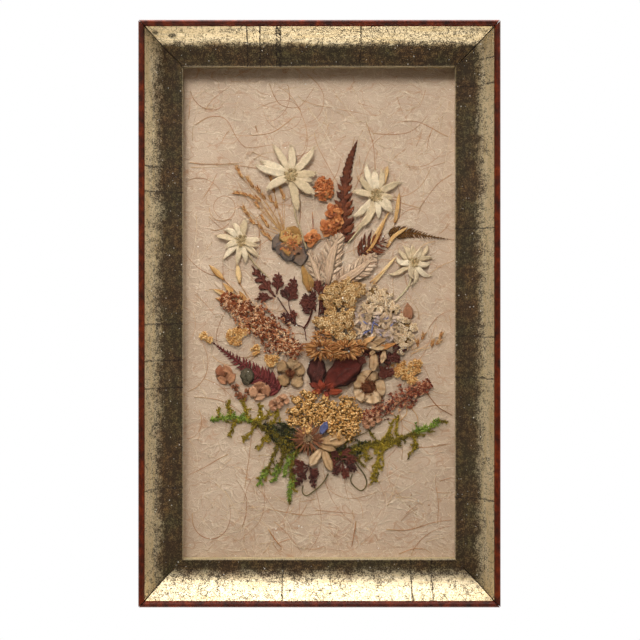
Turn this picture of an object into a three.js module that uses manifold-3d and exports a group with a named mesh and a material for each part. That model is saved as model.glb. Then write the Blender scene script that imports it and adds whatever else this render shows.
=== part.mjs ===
// A small wall frame that holds a pressed bouquet: four mitred scoop rails, a glass pane on spacer strips,
// a sheet of fibre paper with the dried specimens laid on it, a backing board held by flat points, and a
// sawtooth hanger let into the back of the top rail.
//
// Millimetres. X runs to the right and Z up as the frame hangs; the wall is the plane Y = 0 and the frame faces -Y.
// The origin is the middle of the hanger, on the wall plane. "Height" below is the distance from the wall.
import * as THREE from 'three';
import { mergeVertices } from 'three/addons/utils/BufferGeometryUtils.js';
import Module from 'manifold-3d';

const wasm = await Module();
wasm.setup();

// ---------------------------------------------------------------- driving dimensions
const FRAME_WIDTH = 181;
const FRAME_LENGTH = 293.5;
const FRAME_DEPTH = 27;
const RAIL_WIDTH = 20.9; // from the outside edge to the sight edge
const RABBET_WALL = 15.4; // from the outside edge to the wall of the rabbet
const BEAD_WIDTH = 3.2; // the red bead round the outside
const BEAD_SIDE = 24.6; // height where the straight side ends and the bead begins
const LIP_BACK = 12.3; // height of the sight edge's back
const LIP_FRONT = 14.6; // height of the sight edge's front
const HANGER_DROP = 8; // from the top of the frame to the hanger's middle

const GAP = 0.3; // between pieces that touch
const GLASS = 2;
const SPACER = 4.6;
const SPACER_WIDTH = 4;
const PAPER = 0.4;
const BOARD = 2.2;
const POINT = 0.4;
const RABBET_PLAY = 0.5; // round the glass, paper and board
const SPECIMEN = 0.3; // how thick a pressed specimen lies
const OVERCUT = 1; // how far a cutting shape stands out of what it cuts

// Heights of the pile in the rabbet, from the glass back to the points.
const GLASS_FRONT = LIP_BACK - GAP;
const SPACER_FRONT = GLASS_FRONT - GLASS - GAP;
const PAPER_FRONT = SPACER_FRONT - SPACER - GAP;
const BOARD_FRONT = PAPER_FRONT - PAPER - GAP;
const POINT_FRONT = BOARD_FRONT - BOARD - GAP;
const SPECIMEN_STEP = SPECIMEN + GAP;

const CENTRE_Z = HANGER_DROP - FRAME_LENGTH / 2; // the middle of the picture
const MITRE_SETBACK = GAP / Math.SQRT2; // each rail's end is set back by this along its length

const FINISH = {
  moulding: new THREE.MeshStandardMaterial({ color: 0xa89a78, roughness: 0.4, metalness: 0.6 }),
  glass: new THREE.MeshStandardMaterial({ color: 0xe4ece8, roughness: 0.05, transparent: true, opacity: 0.25 }),
  card: new THREE.MeshStandardMaterial({ color: 0xb8a078, roughness: 0.9 }),
  paper: new THREE.MeshStandardMaterial({ color: 0xcdb49b, roughness: 0.95 }),
  steel: new THREE.MeshStandardMaterial({ color: 0xb4b2ac, roughness: 0.35, metalness: 0.9 }),
  cream: new THREE.MeshStandardMaterial({ color: 0xdedab9, roughness: 0.9 }),
  orange: new THREE.MeshStandardMaterial({ color: 0xb4602c, roughness: 0.85 }),
  straw: new THREE.MeshStandardMaterial({ color: 0xc49558, roughness: 0.85 }),
  brown: new THREE.MeshStandardMaterial({ color: 0x7a4830, roughness: 0.85 }),
  rose: new THREE.MeshStandardMaterial({ color: 0xa9705a, roughness: 0.85 }),
  maroon: new THREE.MeshStandardMaterial({ color: 0x5c2a2c, roughness: 0.8 }),
  silver: new THREE.MeshStandardMaterial({ color: 0xc4aca0, roughness: 0.9 }),
  slate: new THREE.MeshStandardMaterial({ color: 0x6c7280, roughness: 0.85 }),
  gold: new THREE.MeshStandardMaterial({ color: 0xc79a4a, roughness: 0.85 }),
  moss: new THREE.MeshStandardMaterial({ color: 0x6f7434, roughness: 0.95 }),
};

// ---------------------------------------------------------------- solids
const { PI, cos, sin, hypot, max, min } = Math;
const radians = (degrees) => (degrees * PI) / 180;

function toSolid(geometry) {
  const bare = geometry.clone();
  bare.deleteAttribute('normal');
  bare.deleteAttribute('uv');
  const merged = mergeVertices(bare, 1e-5);
  const vertProperties = new Float32Array(merged.attributes.position.array);
  const triVerts = new Uint32Array(merged.index.array);
  return new wasm.Manifold(new wasm.Mesh({ numProp: 3, vertProperties, triVerts }));
}

function toGeometry(solid) {
  const { vertProperties, triVerts } = solid.getMesh();
  const geometry = new THREE.BufferGeometry();
  geometry.setAttribute('position', new THREE.BufferAttribute(new Float32Array(vertProperties), 3));
  geometry.setIndex(new THREE.BufferAttribute(new Uint32Array(triVerts), 1));
  return geometry;
}

function cut(geometry, tools) {
  return toGeometry(tools.reduce((solid, tool) => solid.subtract(toSolid(tool)), toSolid(geometry)));
}

// A box from its lowest to its highest corner, where the corners' y values are heights from the wall.
function block([x0, h0, z0], [x1, h1, z1]) {
  const box = new THREE.BoxGeometry(x1 - x0, h1 - h0, z1 - z0);
  return box.translate((x0 + x1) / 2, -(h0 + h1) / 2, (z0 + z1) / 2);
}

// A flat piece: an outline in the picture's plane, thick from height h0 to height h1.
function plate(outline, h0, h1) {
  const shape = new THREE.Shape(outline.map(([x, z]) => new THREE.Vector2(x, z)));
  const flat = new THREE.ExtrudeGeometry(shape, { depth: h1 - h0, bevelEnabled: false });
  return flat.rotateX(PI / 2).translate(0, -h0, 0);
}

function named(name, geometry, finish) {
  const mesh = new THREE.Mesh(geometry, finish);
  mesh.name = name;
  return mesh;
}

// ---------------------------------------------------------------- rails
// The section, as [distance from the outside edge, height]. The bead is highest. The scoop falls steeply
// beside it and runs out nearly flat towards the sight edge.
function railSection() {
  const BEAD_STEPS = 8;
  const SCOOP_STEPS = 14;
  const SCOOP_TOP = 24.9;
  const SCOOP_STEEPNESS = 2.6;
  const section = [[0, 0], [0, BEAD_SIDE]];
  for (let i = 1; i < BEAD_STEPS; i += 1) {
    const turn = PI * (1 - i / BEAD_STEPS);
    const across = (BEAD_WIDTH / 2) * (1 + cos(turn));
    section.push([across, BEAD_SIDE + (FRAME_DEPTH - BEAD_SIDE) * sin(turn)]);
  }
  for (let i = 0; i <= SCOOP_STEPS; i += 1) {
    const t = i / SCOOP_STEPS;
    const across = BEAD_WIDTH + (RAIL_WIDTH - BEAD_WIDTH) * t;
    section.push([across, LIP_FRONT + (SCOOP_TOP - LIP_FRONT) * (1 - t) ** SCOOP_STEEPNESS]);
  }
  return section.concat([[RAIL_WIDTH, LIP_BACK], [RABBET_WALL, LIP_BACK], [RABBET_WALL, 0]]);
}

// A rail along +X with its outside edge on z = 0 and its body below, mitred at both ends by sliding the end
// corners along the rail by their distance from the outside edge.
function mitredRail(length) {
  const shape = new THREE.Shape(railSection().map(([across, height]) => new THREE.Vector2(across, height)));
  const rail = new THREE.ExtrudeGeometry(shape, { depth: 1, bevelEnabled: false });
  const corners = rail.attributes.position;
  for (let i = 0; i < corners.count; i += 1) {
    const across = corners.getX(i);
    const end = corners.getZ(i) > 0.5 ? -1 : 1;
    const along = end * (length / 2 - across - MITRE_SETBACK);
    corners.setXYZ(i, along, -corners.getY(i), -across);
  }
  return rail;
}

const HALF_WIDTH = FRAME_WIDTH / 2;
const HALF_LENGTH = FRAME_LENGTH / 2;

// ---------------------------------------------------------------- hanger, nails and points
const HANGER = { length: 44, width: 9, thick: 0.8, teeth: 9, toothDepth: 1.6, holeInset: 4, hole: 0.9 };
const RECESS = { play: 0.6, depth: 2.2, pocket: [24, 6.4], pocketDepth: 5 };
const NAIL = { head: 1.8, headThick: 0.6, shank: 0.6, length: 9, taper: 1.5, sides: 12 };
const POINT_SIZE = { width: 7, length: 12, inRail: 5, slotPlay: 0.3 };

const HANGER_FRONT = RECESS.depth - GAP;
const HANGER_BACK = HANGER_FRONT - HANGER.thick;
const nailPlaces = [-1, 1].map((side) => side * (HANGER.length / 2 - HANGER.holeInset));

function hangerPlate() {
  const top = HANGER.width / 2;
  const left = -HANGER.length / 2;
  const toothRun = HANGER.length - 4 * HANGER.holeInset;
  const pitch = toothRun / HANGER.teeth;
  const outline = [[left, top], [left, -top]];
  for (let i = 0; i < HANGER.teeth; i += 1) {
    const start = -toothRun / 2 + i * pitch;
    outline.push([start, -top], [start + pitch / 2, -top + HANGER.toothDepth]);
  }
  outline.push([toothRun / 2, -top], [-left, -top], [-left, top]);
  return cut(
    plate(outline, HANGER_BACK, HANGER_FRONT),
    nailPlaces.map((x) => bar(HANGER.hole, x, HANGER_BACK - OVERCUT, HANGER_FRONT + OVERCUT)),
  );
}

// A round bar square to the wall, at that x and level with the hanger's middle.
function bar(radius, x, h0, h1) {
  return new THREE.CylinderGeometry(radius, radius, h1 - h0, NAIL.sides).translate(x, -(h0 + h1) / 2, 0);
}

function nail(x) {
  const headFront = HANGER_BACK - GAP;
  const headBack = headFront - NAIL.headThick;
  const tip = headFront + NAIL.length;
  const profile = [
    [0, -headBack], [NAIL.head, -headBack], [NAIL.head, -headFront], [NAIL.shank, -headFront],
    [NAIL.shank, NAIL.taper - tip], [0, -tip],
  ];
  const points = profile.map(([radius, y]) => new THREE.Vector2(radius, y)).reverse();
  return new THREE.LatheGeometry(points, NAIL.sides).translate(x, 0, 0);
}

function hangerCuts() {
  const reach = HANGER.length / 2 + RECESS.play;
  const rise = HANGER.width / 2 + RECESS.play;
  const [pocketLength, pocketWidth] = RECESS.pocket;
  const nailHoles = nailPlaces.map((x) => bar(HANGER.hole, x, 0, NAIL.length + RECESS.depth));
  return [
    block([-reach, -OVERCUT, -rise], [reach, RECESS.depth, rise]),
    block([-pocketLength / 2, 0, -rise], [pocketLength / 2, RECESS.pocketDepth, pocketWidth - rise]),
    ...nailHoles,
  ];
}

// Each point lies flat against the board, half of it pushed into a slot in the rabbet's wall.
// [name, x, z, angle in the picture's plane towards the rail]
const rabbetX = HALF_WIDTH - RABBET_WALL;
const rabbetZ = HALF_LENGTH - RABBET_WALL;
const SIDE_POINT_RISE = 62;
const END_POINT_OFFSET = 38; // clear of the hanger
const pointPlaces = [
  ['point_top', END_POINT_OFFSET, CENTRE_Z + rabbetZ, 90],
  ['point_bottom', -END_POINT_OFFSET, CENTRE_Z - rabbetZ, 270],
  ['point_left_upper', -rabbetX, CENTRE_Z + SIDE_POINT_RISE, 180],
  ['point_left_lower', -rabbetX, CENTRE_Z - SIDE_POINT_RISE, 180],
  ['point_right_upper', rabbetX, CENTRE_Z + SIDE_POINT_RISE, 0],
  ['point_right_lower', rabbetX, CENTRE_Z - SIDE_POINT_RISE, 0],
];

function flatPoint([, x, z, angle]) {
  const half = POINT_SIZE.width / 2;
  const outside = POINT_SIZE.length - POINT_SIZE.inRail;
  const outline = [[-outside, -half], [0, -half], [POINT_SIZE.inRail, 0], [0, half], [-outside, half]];
  return plate(turned(outline, x, z, angle), POINT_FRONT - POINT, POINT_FRONT);
}

function pointSlot([, x, z, angle]) {
  const half = POINT_SIZE.width / 2 + POINT_SIZE.slotPlay;
  const deep = POINT_SIZE.inRail + POINT_SIZE.slotPlay;
  const outline = [[-OVERCUT, -half], [deep, -half], [deep, half], [-OVERCUT, half]];
  return plate(turned(outline, x, z, angle), POINT_FRONT - POINT - GAP, POINT_FRONT + GAP);
}

function turned(outline, x, z, angle) {
  const [c, s] = [cos(radians(angle)), sin(radians(angle))];
  return outline.map(([u, v]) => [x + u * c - v * s, z + u * s + v * c]);
}

// ---------------------------------------------------------------- specimen outlines
// Outlines are lists of [x, z] from the middle of the picture.

// A flower head or a lobed leaf: arms given as [angle, length] from its centre, with a waist between them.
// An arm is widest at its shoulder, a share of its length from the centre. A shoulder takes at most a share of
// the turn to the next arm, so that the outline never crosses itself.
const SHOULDER = 0.6;
const SHOULDER_REACH = 0.42;

function star(centre, arms, { waist = 3, armWidth = 3.4 } = {}) {
  const turns = arms.map(([angle], i) => {
    const next = arms[(i + 1) % arms.length][0] + (i + 1 === arms.length ? 360 : 0);
    return radians(next - angle);
  });
  return arms.flatMap(([angle, length], i) => {
    const turn = radians(angle);
    const shoulder = armWidth / 2 / (SHOULDER * length);
    return [
      polar(centre, SHOULDER * length, turn - min(shoulder, SHOULDER_REACH * turns.at(i - 1))),
      polar(centre, length, turn),
      polar(centre, SHOULDER * length, turn + min(shoulder, SHOULDER_REACH * turns[i])),
      polar(centre, waist, turn + turns[i] / 2),
    ];
  });
}

function polar([x, z], radius, turn) {
  return [x + radius * cos(turn), z + radius * sin(turn)];
}

// Evenly spaced arms of one length.
const ring = (count, length, first = 90) =>
  Array.from({ length: count }, (_, i) => [first + (i * 360) / count, length]);

// A rounded clump with scalloped edges, wide by tall, turned by an angle.
const SCALLOP_STEPS = 3;
const SCALLOP_NOTCH = 0.88; // a notch's distance from the middle, as a share of the edge's

function clump([x, z], width, height, scallops = 8, angle = 0) {
  const outline = [];
  const steps = scallops * SCALLOP_STEPS;
  for (let i = 0; i < steps; i += 1) {
    const turn = (i * 2 * PI) / steps;
    const swell = i % SCALLOP_STEPS === 0 ? SCALLOP_NOTCH : 1;
    outline.push([(width / 2) * swell * cos(turn), (height / 2) * swell * sin(turn)]);
  }
  return turned(outline, x, z, angle);
}

// A toothed frond from its base to its tip, widest at a share of its length. Its half width starts at a share
// of the widest, and the notch between two teeth reaches a share of a tooth.
const FROND = { baseShare: 0.45, taper: 1.2, notch: 0.55, leastTooth: 0.5, leastNotch: 0.35, stalk: 0.4 };
const TOOTH_AT = 0.1; // where a tooth and the notch after it stand, as shares of the teeth's spacing
const NOTCH_AT = 0.5;

function frond(base, tip, width, teeth, widest = 0.35) {
  const length = hypot(tip[0] - base[0], tip[1] - base[1]);
  const angle = (Math.atan2(tip[1] - base[1], tip[0] - base[0]) * 180) / PI;
  const pitch = length / teeth;
  const upper = [];
  const lower = [];
  for (let i = 0; i < teeth; i += 1) {
    const t = (i + 0.5) / teeth;
    const opening = FROND.baseShare + (1 - FROND.baseShare) * (t / widest);
    const swell = t < widest ? opening : 1 - ((t - widest) / (1 - widest)) ** FROND.taper;
    const reach = max((width / 2) * swell, FROND.leastTooth);
    const notch = max(reach * FROND.notch, FROND.leastNotch);
    const at = t * length;
    upper.push([at + pitch * TOOTH_AT, reach], [at + pitch * NOTCH_AT, notch]);
    lower.push([at + pitch * TOOTH_AT, -reach], [at + pitch * NOTCH_AT, -notch]);
  }
  const outline = [[0, -FROND.stalk], ...lower, [length, 0], ...upper.reverse(), [0, FROND.stalk]];
  return turned(outline, base[0], base[1], angle);
}

// A strip along a path, tapering to its ends.
function strip(path, width, ends = 0.4) {
  const left = [];
  const right = [];
  path.forEach(([x, z], i) => {
    const before = path[max(i - 1, 0)];
    const after = path[min(i + 1, path.length - 1)];
    const run = hypot(after[0] - before[0], after[1] - before[1]);
    const across = [-(after[1] - before[1]) / run, (after[0] - before[0]) / run];
    const half = (width / 2) * (i === 0 || i === path.length - 1 ? ends : 1);
    left.push([x + across[0] * half, z + across[1] * half]);
    right.push([x - across[0] * half, z - across[1] * half]);
  });
  return right.concat(left.reverse());
}

// An oval petal, leaf or seed from end to end.
function oval(from, to, width, steps = 10) {
  const length = hypot(to[0] - from[0], to[1] - from[1]);
  const angle = (Math.atan2(to[1] - from[1], to[0] - from[0]) * 180) / PI;
  const middle = [(from[0] + to[0]) / 2, (from[1] + to[1]) / 2];
  const outline = Array.from({ length: steps }, (_, i) => {
    const turn = (i * 2 * PI) / steps;
    return [(length / 2) * cos(turn), (width / 2) * sin(turn)];
  });
  return turned(outline, middle[0], middle[1], angle);
}

// ---------------------------------------------------------------- the bouquet, from the paper up
// [name, finish, outlines]. Outlines of one specimen that cross are joined into one solid.
const bouquet = [
  ['moss_left', FINISH.moss, [
    strip([[-56, -56], [-46, -54], [-37, -55], [-27, -60], [-17, -66], [-8, -70]], 5),
    strip([[-46, -55], [-46.5, -50], [-47, -45]], 3),
    strip([[-37, -56], [-38, -50], [-40, -45]], 3),
    strip([[-31, -58], [-30, -52], [-31, -47]], 3),
    strip([[-42, -55], [-45, -60], [-47, -64]], 3),
    strip([[-33, -58], [-36, -63], [-39, -66]], 3),
    strip([[-19, -66], [-24, -75], [-27, -82], [-30, -87]], 4.5),
    strip([[-17, -67], [-19, -76], [-23, -86]], 4),
    strip([[-10, -70], [-14, -80], [-14, -88], [-15, -95]], 5),
  ]],
  ['moss_right', FINISH.moss, [
    strip([[6, -74], [16, -72], [27, -68], [38, -66], [50, -62], [62, -57]], 5),
    strip([[30, -68], [31, -74], [30, -80], [27, -86]], 4),
    strip([[47, -63], [50, -66], [50.5, -70], [46, -73.5]], 3),
    strip([[31, -68], [36, -62], [39, -55]], 2.4),
    strip([[40, -66], [40, -60], [41.5, -53]], 2.4),
  ]],
  ['fern_red_brown', FINISH.brown, [frond([12, 38], [19.8, 88.5], 11.5, 12, 0.4)]],
  ['fern_olive', FINISH.brown, [frond([36, 43.6], [69, 38.2], 9.4, 10, 0.4)]],
  ['grass_fan', FINISH.straw, [
    strip([[-18, 42], [-26, 52], [-34, 64], [-42, 72.5]], 4.5),
    strip([[-17, 40], [-20, 50], [-24, 58], [-26, 66]], 4),
    strip([[-19, 41], [-27, 42], [-31, 45], [-35, 49]], 3.6),
  ]],
  ['oat_sprig', FINISH.straw, [
    strip([[-26, -4], [-36, 4], [-44, 8], [-55, 12.5]], 3.4),
    strip([[-34, 3], [-43, 15], [-50, 18.5], [-57, 25.5]], 3.4),
    strip([[-33, 2], [-40, 14], [-42.5, 26.5]], 3.2),
    strip([[-36, 4], [-45, 5.5], [-54.5, 7.5]], 3.2),
  ]],
  ['straw_blade', FINISH.straw, [
    strip([[24, 32.5], [31, 43], [37.5, 54]], 2.2),
  ]],
  ['fern_brown', FINISH.brown, [frond([26.5, 28.5], [35.6, 39], 14, 6, 0.5)]],
  ['silver_leaf_left', FINISH.silver, [frond([0.5, 13], [-5.8, 31.5], 8.4, 8, 0.45)]],
  ['silver_leaf_middle', FINISH.silver, [frond([4.4, 15], [10.9, 40], 13.5, 9, 0.5)]],
  ['silver_leaf_right', FINISH.silver, [frond([8, 15.5], [29.5, 29.5], 11, 9, 0.55)]],
  ['maroon_leaf_left', FINISH.maroon, [
    star([-22.5, 8], [[38, 9.5], [84, 11], [128, 17.5], [193, 11], [322, 10]], { waist: 2.6, armWidth: 5.4 }),
    strip([[-21, 6], [-13, -5], [-6.5, -14]], 1.6),
  ]],
  ['maroon_leaf_middle', FINISH.maroon, [
    star([-2.6, 6], [[70, 9.5], [110, 11], [178, 8], [242, 7], [330, 7]], { waist: 2.4, armWidth: 4.8 }),
  ]],
  ['heather_panicle', FINISH.rose, [
    strip([[-51, 5.5], [-42, 3], [-30, -5], [-20, -13], [-9, -22]], 13, 0.5),
  ]],
  ['fern_crimson', FINISH.maroon, [frond([-20, -40], [-57, -14.2], 15, 13, 0.35)]],
  ['terracotta_left', FINISH.rose, [
    star([-48.6, -32.4], ring(5, 5.2, 80), { waist: 2.8, armWidth: 5 }),
    strip([[-48, -35], [-44, -39.5], [-41.5, -43.5]], 2.6),
  ]],
  ['terracotta_right', FINISH.rose, [star([-30, -39.8], ring(5, 5.2, 60), { waist: 2.8, armWidth: 5 })]],
  ['yarrow_cream_top', FINISH.gold, [clump([12.6, 8.2], 17.6, 15, 8)]],
  ['yarrow_cream_middle', FINISH.gold, [clump([11.4, -5.4], 19, 13, 8, 12)]],
  ['yarrow_mauve', FINISH.silver, [clump([31.5, 5.6], 16.5, 15.6, 8)]],
  ['lilac_flowers', FINISH.slate, [star([26.5, -6.6], ring(9, 12.6, 20), { waist: 6, armWidth: 3.4 })]],
  ['chrysanthemums', FINISH.gold, [clump([5.6, -18.2], 32, 13.6, 10, -4)]],
  ['dark_leaf_right', FINISH.maroon, [
    star([33, -24], [[22, 11.5], [60, 5.4], [102, 6], [196, 5], [286, 9.6]], { waist: 2.4, armWidth: 3.6 }),
  ]],
  ['panicle_right', FINISH.rose, [
    strip([[55.5, -37.5], [46, -42.5], [34, -49], [21, -54.5]], 10, 0.6),
    strip([[54, -38], [57, -43], [62, -49], [69.5, -53.5]], 1.4),
  ]],
  ['petal_plum', FINISH.maroon, [oval([-0.8, -24], [-0.6, -37.5], 9.4, 12)]],
  ['petal_red', FINISH.maroon, [
    oval([5.5, -38.5], [21, -24.5], 9.6, 12), oval([-4.5, -38], [9, -36.6], 4.2, 8),
  ]],
  ['flower_khaki', FINISH.moss, [star([-14.8, -31.4], ring(5, 6.8, 20), { waist: 3, armWidth: 6 })]],
  ['flower_cream', FINISH.cream, [star([25.7, -38.6], ring(5, 9, 82), { waist: 4.2, armWidth: 7.4 })]],
  ['yarrow_golden_left', FINISH.gold, [clump([-7, -51.4], 25, 25.5, 9)]],
  ['yarrow_golden_right', FINISH.gold, [clump([13.6, -55.4], 17.5, 26.5, 8)]],
  ['maroon_leaf_bottom', FINISH.maroon, [
    star([-5.5, -81.5], [[22, 8], [166, 8], [196, 9.6], [236, 11.6], [284, 10.4]], { waist: 2.4, armWidth: 3.8 }),
  ]],
  ['maroon_leaf_corner', FINISH.maroon, [
    star([12.5, -78.6], [[8, 7.2], [52, 5.6], [128, 5.6], [190, 6.6], [268, 8]], { waist: 3, armWidth: 4.4 }),
  ]],
  ['daisy_brown', FINISH.brown, [star([-5.5, -65.2], ring(14, 8.4, 5), { waist: 4.4, armWidth: 2 })]],
  ['pansy', FINISH.slate, [clump([-15.6, 34.4], 18, 20, 5, 20)]],
  ['orange_buds', FINISH.orange, [
    clump([8, 51.6], 6.6, 10, 5, -20), clump([6, 44.2], 10.4, 7.6, 5),
  ]],
  ['orange_seed_head', FINISH.orange, [clump([2.4, 64.2], 10, 12.2, 6, 10)]],
  ['edelweiss_left', FINISH.cream, [
    star([-40.3, 37.3], [
      [2, 9.5], [80, 11], [136, 10], [168, 12.8], [223, 13], [260, 12.2], [286, 11.2], [318, 11.8],
    ]),
    strip([[-37, 31], [-33, 25], [-26, 18]], 1.4),
  ]],
  ['edelweiss_right', FINISH.cream, [
    star([49.1, 26.4], [
      [20, 9], [62, 7], [118, 9], [150, 9.4], [218, 14], [290, 12], [340, 8],
    ], { waist: 3.4 }),
    strip([[49, 24.5], [46.5, 14], [39.5, 5.6]], 1.4),
  ]],
  ['edelweiss_top_right', FINISH.cream, [
    star([29.9, 60.7], [
      [34, 13.8], [70, 14.3], [96, 13], [115, 17], [170, 12.2], [251, 18.8], [314, 10.3],
    ]),
    strip([[25, 48], [20, 42], [15, 36]], 1.4),
  ]],
  ['edelweiss_top_left', FINISH.cream, [
    star([-14.3, 71.1], [
      [2, 13], [45, 18.4], [86, 15.6], [119, 18.3], [153, 17.4], [169, 18.5], [207, 15.8], [280, 18.5], [318, 15.4],
    ]),
    strip([[-13.2, 62], [-12.4, 51], [-9.5, 43], [-6.5, 33]], 1.6),
  ]],
];

// ---------------------------------------------------------------- laying the specimens
// Two outlines are near when they cross, when one holds the other, or when their edges come within the gap.
function near(a, b) {
  return holds(a, b[0]) || holds(b, a[0]) || a.some((p, i) => {
    const q = a[(i + 1) % a.length];
    return b.some((r, j) => {
      const s = b[(j + 1) % b.length];
      return crossed(p, q, r, s) || min(
        fromEdge(p, r, s), fromEdge(q, r, s), fromEdge(r, p, q), fromEdge(s, p, q),
      ) < GAP;
    });
  });
}

function holds(outline, [x, z]) {
  let inside = false;
  outline.forEach(([x0, z0], i) => {
    const [x1, z1] = outline[(i + 1) % outline.length];
    if ((z0 > z) !== (z1 > z) && x < ((x1 - x0) * (z - z0)) / (z1 - z0) + x0) inside = !inside;
  });
  return inside;
}

function side([x, z], [x0, z0], [x1, z1]) {
  return (x1 - x0) * (z - z0) - (z1 - z0) * (x - x0);
}

function crossed(p, q, r, s) {
  return side(p, r, s) * side(q, r, s) < 0 && side(r, p, q) * side(s, p, q) < 0;
}

function fromEdge([x, z], [x0, z0], [x1, z1]) {
  const [dx, dz] = [x1 - x0, z1 - z0];
  const t = max(0, min(1, ((x - x0) * dx + (z - z0) * dz) / (dx * dx + dz * dz)));
  return hypot(x - x0 - t * dx, z - z0 - t * dz);
}

// Each specimen lies one step above the highest of the earlier ones that it crosses.
function laidOut() {
  const laid = [];
  return bouquet.map(([name, finish, outlines]) => {
    const under = laid.filter((other) => outlines.some((a) => other.outlines.some((b) => near(a, b))));
    const layer = under.reduce((highest, other) => max(highest, other.layer + 1), 0);
    laid.push({ outlines, layer });
    const h0 = PAPER_FRONT + GAP + layer * SPECIMEN_STEP;
    const sheets = outlines.map((outline) => plate(outline, h0, h0 + SPECIMEN));
    const joined = sheets.map(toSolid).reduce((whole, sheet) => whole.add(sheet));
    return named(name, toGeometry(joined).translate(0, 0, CENTRE_Z), finish);
  });
}

// ---------------------------------------------------------------- assembly
const part = new THREE.Group();

const railTop = cut(mitredRail(FRAME_WIDTH).translate(0, 0, HANGER_DROP), [
  ...hangerCuts(), pointSlot(pointPlaces[0]),
]);
part.add(named('rail_top', railTop, FINISH.moulding));

const railBottom = cut(
  mitredRail(FRAME_WIDTH).rotateY(PI).translate(0, 0, HANGER_DROP - FRAME_LENGTH),
  [pointSlot(pointPlaces[1])],
);
part.add(named('rail_bottom', railBottom, FINISH.moulding));

[['rail_left', -1], ['rail_right', 1]].forEach(([name, toward]) => {
  const rail = mitredRail(FRAME_LENGTH).rotateY((toward * PI) / 2).translate(toward * HALF_WIDTH, 0, CENTRE_Z);
  const slots = pointPlaces.filter(([, x]) => x * toward > 0).map(pointSlot);
  part.add(named(name, cut(rail, slots), FINISH.moulding));
});

const paneX = rabbetX - RABBET_PLAY;
const paneZ = rabbetZ - RABBET_PLAY;
const sheet = (front, thick) =>
  block([-paneX, front - thick, CENTRE_Z - paneZ], [paneX, front, CENTRE_Z + paneZ]);
part.add(named('glass_pane', sheet(GLASS_FRONT, GLASS), FINISH.glass));
part.add(named('paper_sheet', sheet(PAPER_FRONT, PAPER), FINISH.paper));
part.add(named('backing_board', sheet(BOARD_FRONT, BOARD), FINISH.card));

const spacerBack = SPACER_FRONT - SPACER;
const innerZ = paneZ - SPACER_WIDTH;
const spacer = (x0, x1, z0, z1) => block([x0, spacerBack, CENTRE_Z + z0], [x1, SPACER_FRONT, CENTRE_Z + z1]);
part.add(named('spacer_top', spacer(-paneX, paneX, innerZ, paneZ), FINISH.card));
part.add(named('spacer_bottom', spacer(-paneX, paneX, -paneZ, -innerZ), FINISH.card));
part.add(named('spacer_left', spacer(-paneX, SPACER_WIDTH - paneX, GAP - innerZ, innerZ - GAP), FINISH.card));
part.add(named('spacer_right', spacer(paneX - SPACER_WIDTH, paneX, GAP - innerZ, innerZ - GAP), FINISH.card));

laidOut().forEach((specimen) => part.add(specimen));

pointPlaces.forEach((place) => part.add(named(place[0], flatPoint(place), FINISH.steel)));
part.add(named('hanger', hangerPlate(), FINISH.steel));
part.add(named('nail_left', nail(nailPlaces[0]), FINISH.steel));
part.add(named('nail_right', nail(nailPlaces[1]), FINISH.steel));

export default part;
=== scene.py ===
"""A pressed bouquet in a small gilt scoop frame: its fine meshes, finishes, light and camera.

Lengths are millimetres until place() turns them into metres. A point of the picture is (x, z, h): x to the right
and z up from the middle of the picture, and h the height from the wall.
"""
import logging
import math
import random
from collections.abc import Callable, Sequence
from dataclasses import dataclass
from enum import Enum
from functools import partial
from typing import ClassVar

import bpy
import numpy as np
from mathutils import Matrix, Vector, noise


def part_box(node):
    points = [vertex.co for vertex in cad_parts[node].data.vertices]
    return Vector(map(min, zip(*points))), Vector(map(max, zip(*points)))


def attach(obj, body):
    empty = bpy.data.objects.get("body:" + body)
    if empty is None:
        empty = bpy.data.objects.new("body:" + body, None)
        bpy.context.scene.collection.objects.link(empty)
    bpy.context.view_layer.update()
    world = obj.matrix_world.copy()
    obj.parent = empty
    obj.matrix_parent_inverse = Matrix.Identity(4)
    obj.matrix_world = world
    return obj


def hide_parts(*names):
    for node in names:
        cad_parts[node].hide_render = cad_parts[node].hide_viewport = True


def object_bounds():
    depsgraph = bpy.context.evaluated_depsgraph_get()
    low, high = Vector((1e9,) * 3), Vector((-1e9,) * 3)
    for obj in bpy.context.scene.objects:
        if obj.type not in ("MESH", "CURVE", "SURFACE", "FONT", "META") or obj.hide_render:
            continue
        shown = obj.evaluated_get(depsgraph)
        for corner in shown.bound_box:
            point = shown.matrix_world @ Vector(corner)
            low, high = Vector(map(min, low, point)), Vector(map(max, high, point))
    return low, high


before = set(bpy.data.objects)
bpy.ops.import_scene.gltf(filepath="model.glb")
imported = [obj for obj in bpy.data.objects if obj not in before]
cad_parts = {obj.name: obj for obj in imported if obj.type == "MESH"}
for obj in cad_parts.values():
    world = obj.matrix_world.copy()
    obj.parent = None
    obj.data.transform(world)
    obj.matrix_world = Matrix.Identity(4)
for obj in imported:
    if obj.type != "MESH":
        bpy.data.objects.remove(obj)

CAD_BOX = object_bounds()
LOG = logging.getLogger("pressed_flower_frame")

MM = 0.001
TINY = 1e-9
LOW, HIGH = (np.array(corner) / MM for corner in CAD_BOX)
CENTRE_Z = (LOW[2] + HIGH[2]) / 2
FRAME_WIDTH = HIGH[0] - LOW[0]
FRAME_LENGTH = HIGH[2] - LOW[2]
FRAME_DEPTH = HIGH[1] - LOW[1]
SEED = 1871

Spot = tuple[float, ...]
Path = Sequence[Spot]
Coats = list[bpy.types.Material]
Shape = tuple[np.ndarray, list[tuple[int, ...]]]
Stops = Sequence[tuple[float, str]]


class Rides(Enum):
    """The bodies that a piece can ride on."""

    ROOT = "root"


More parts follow.
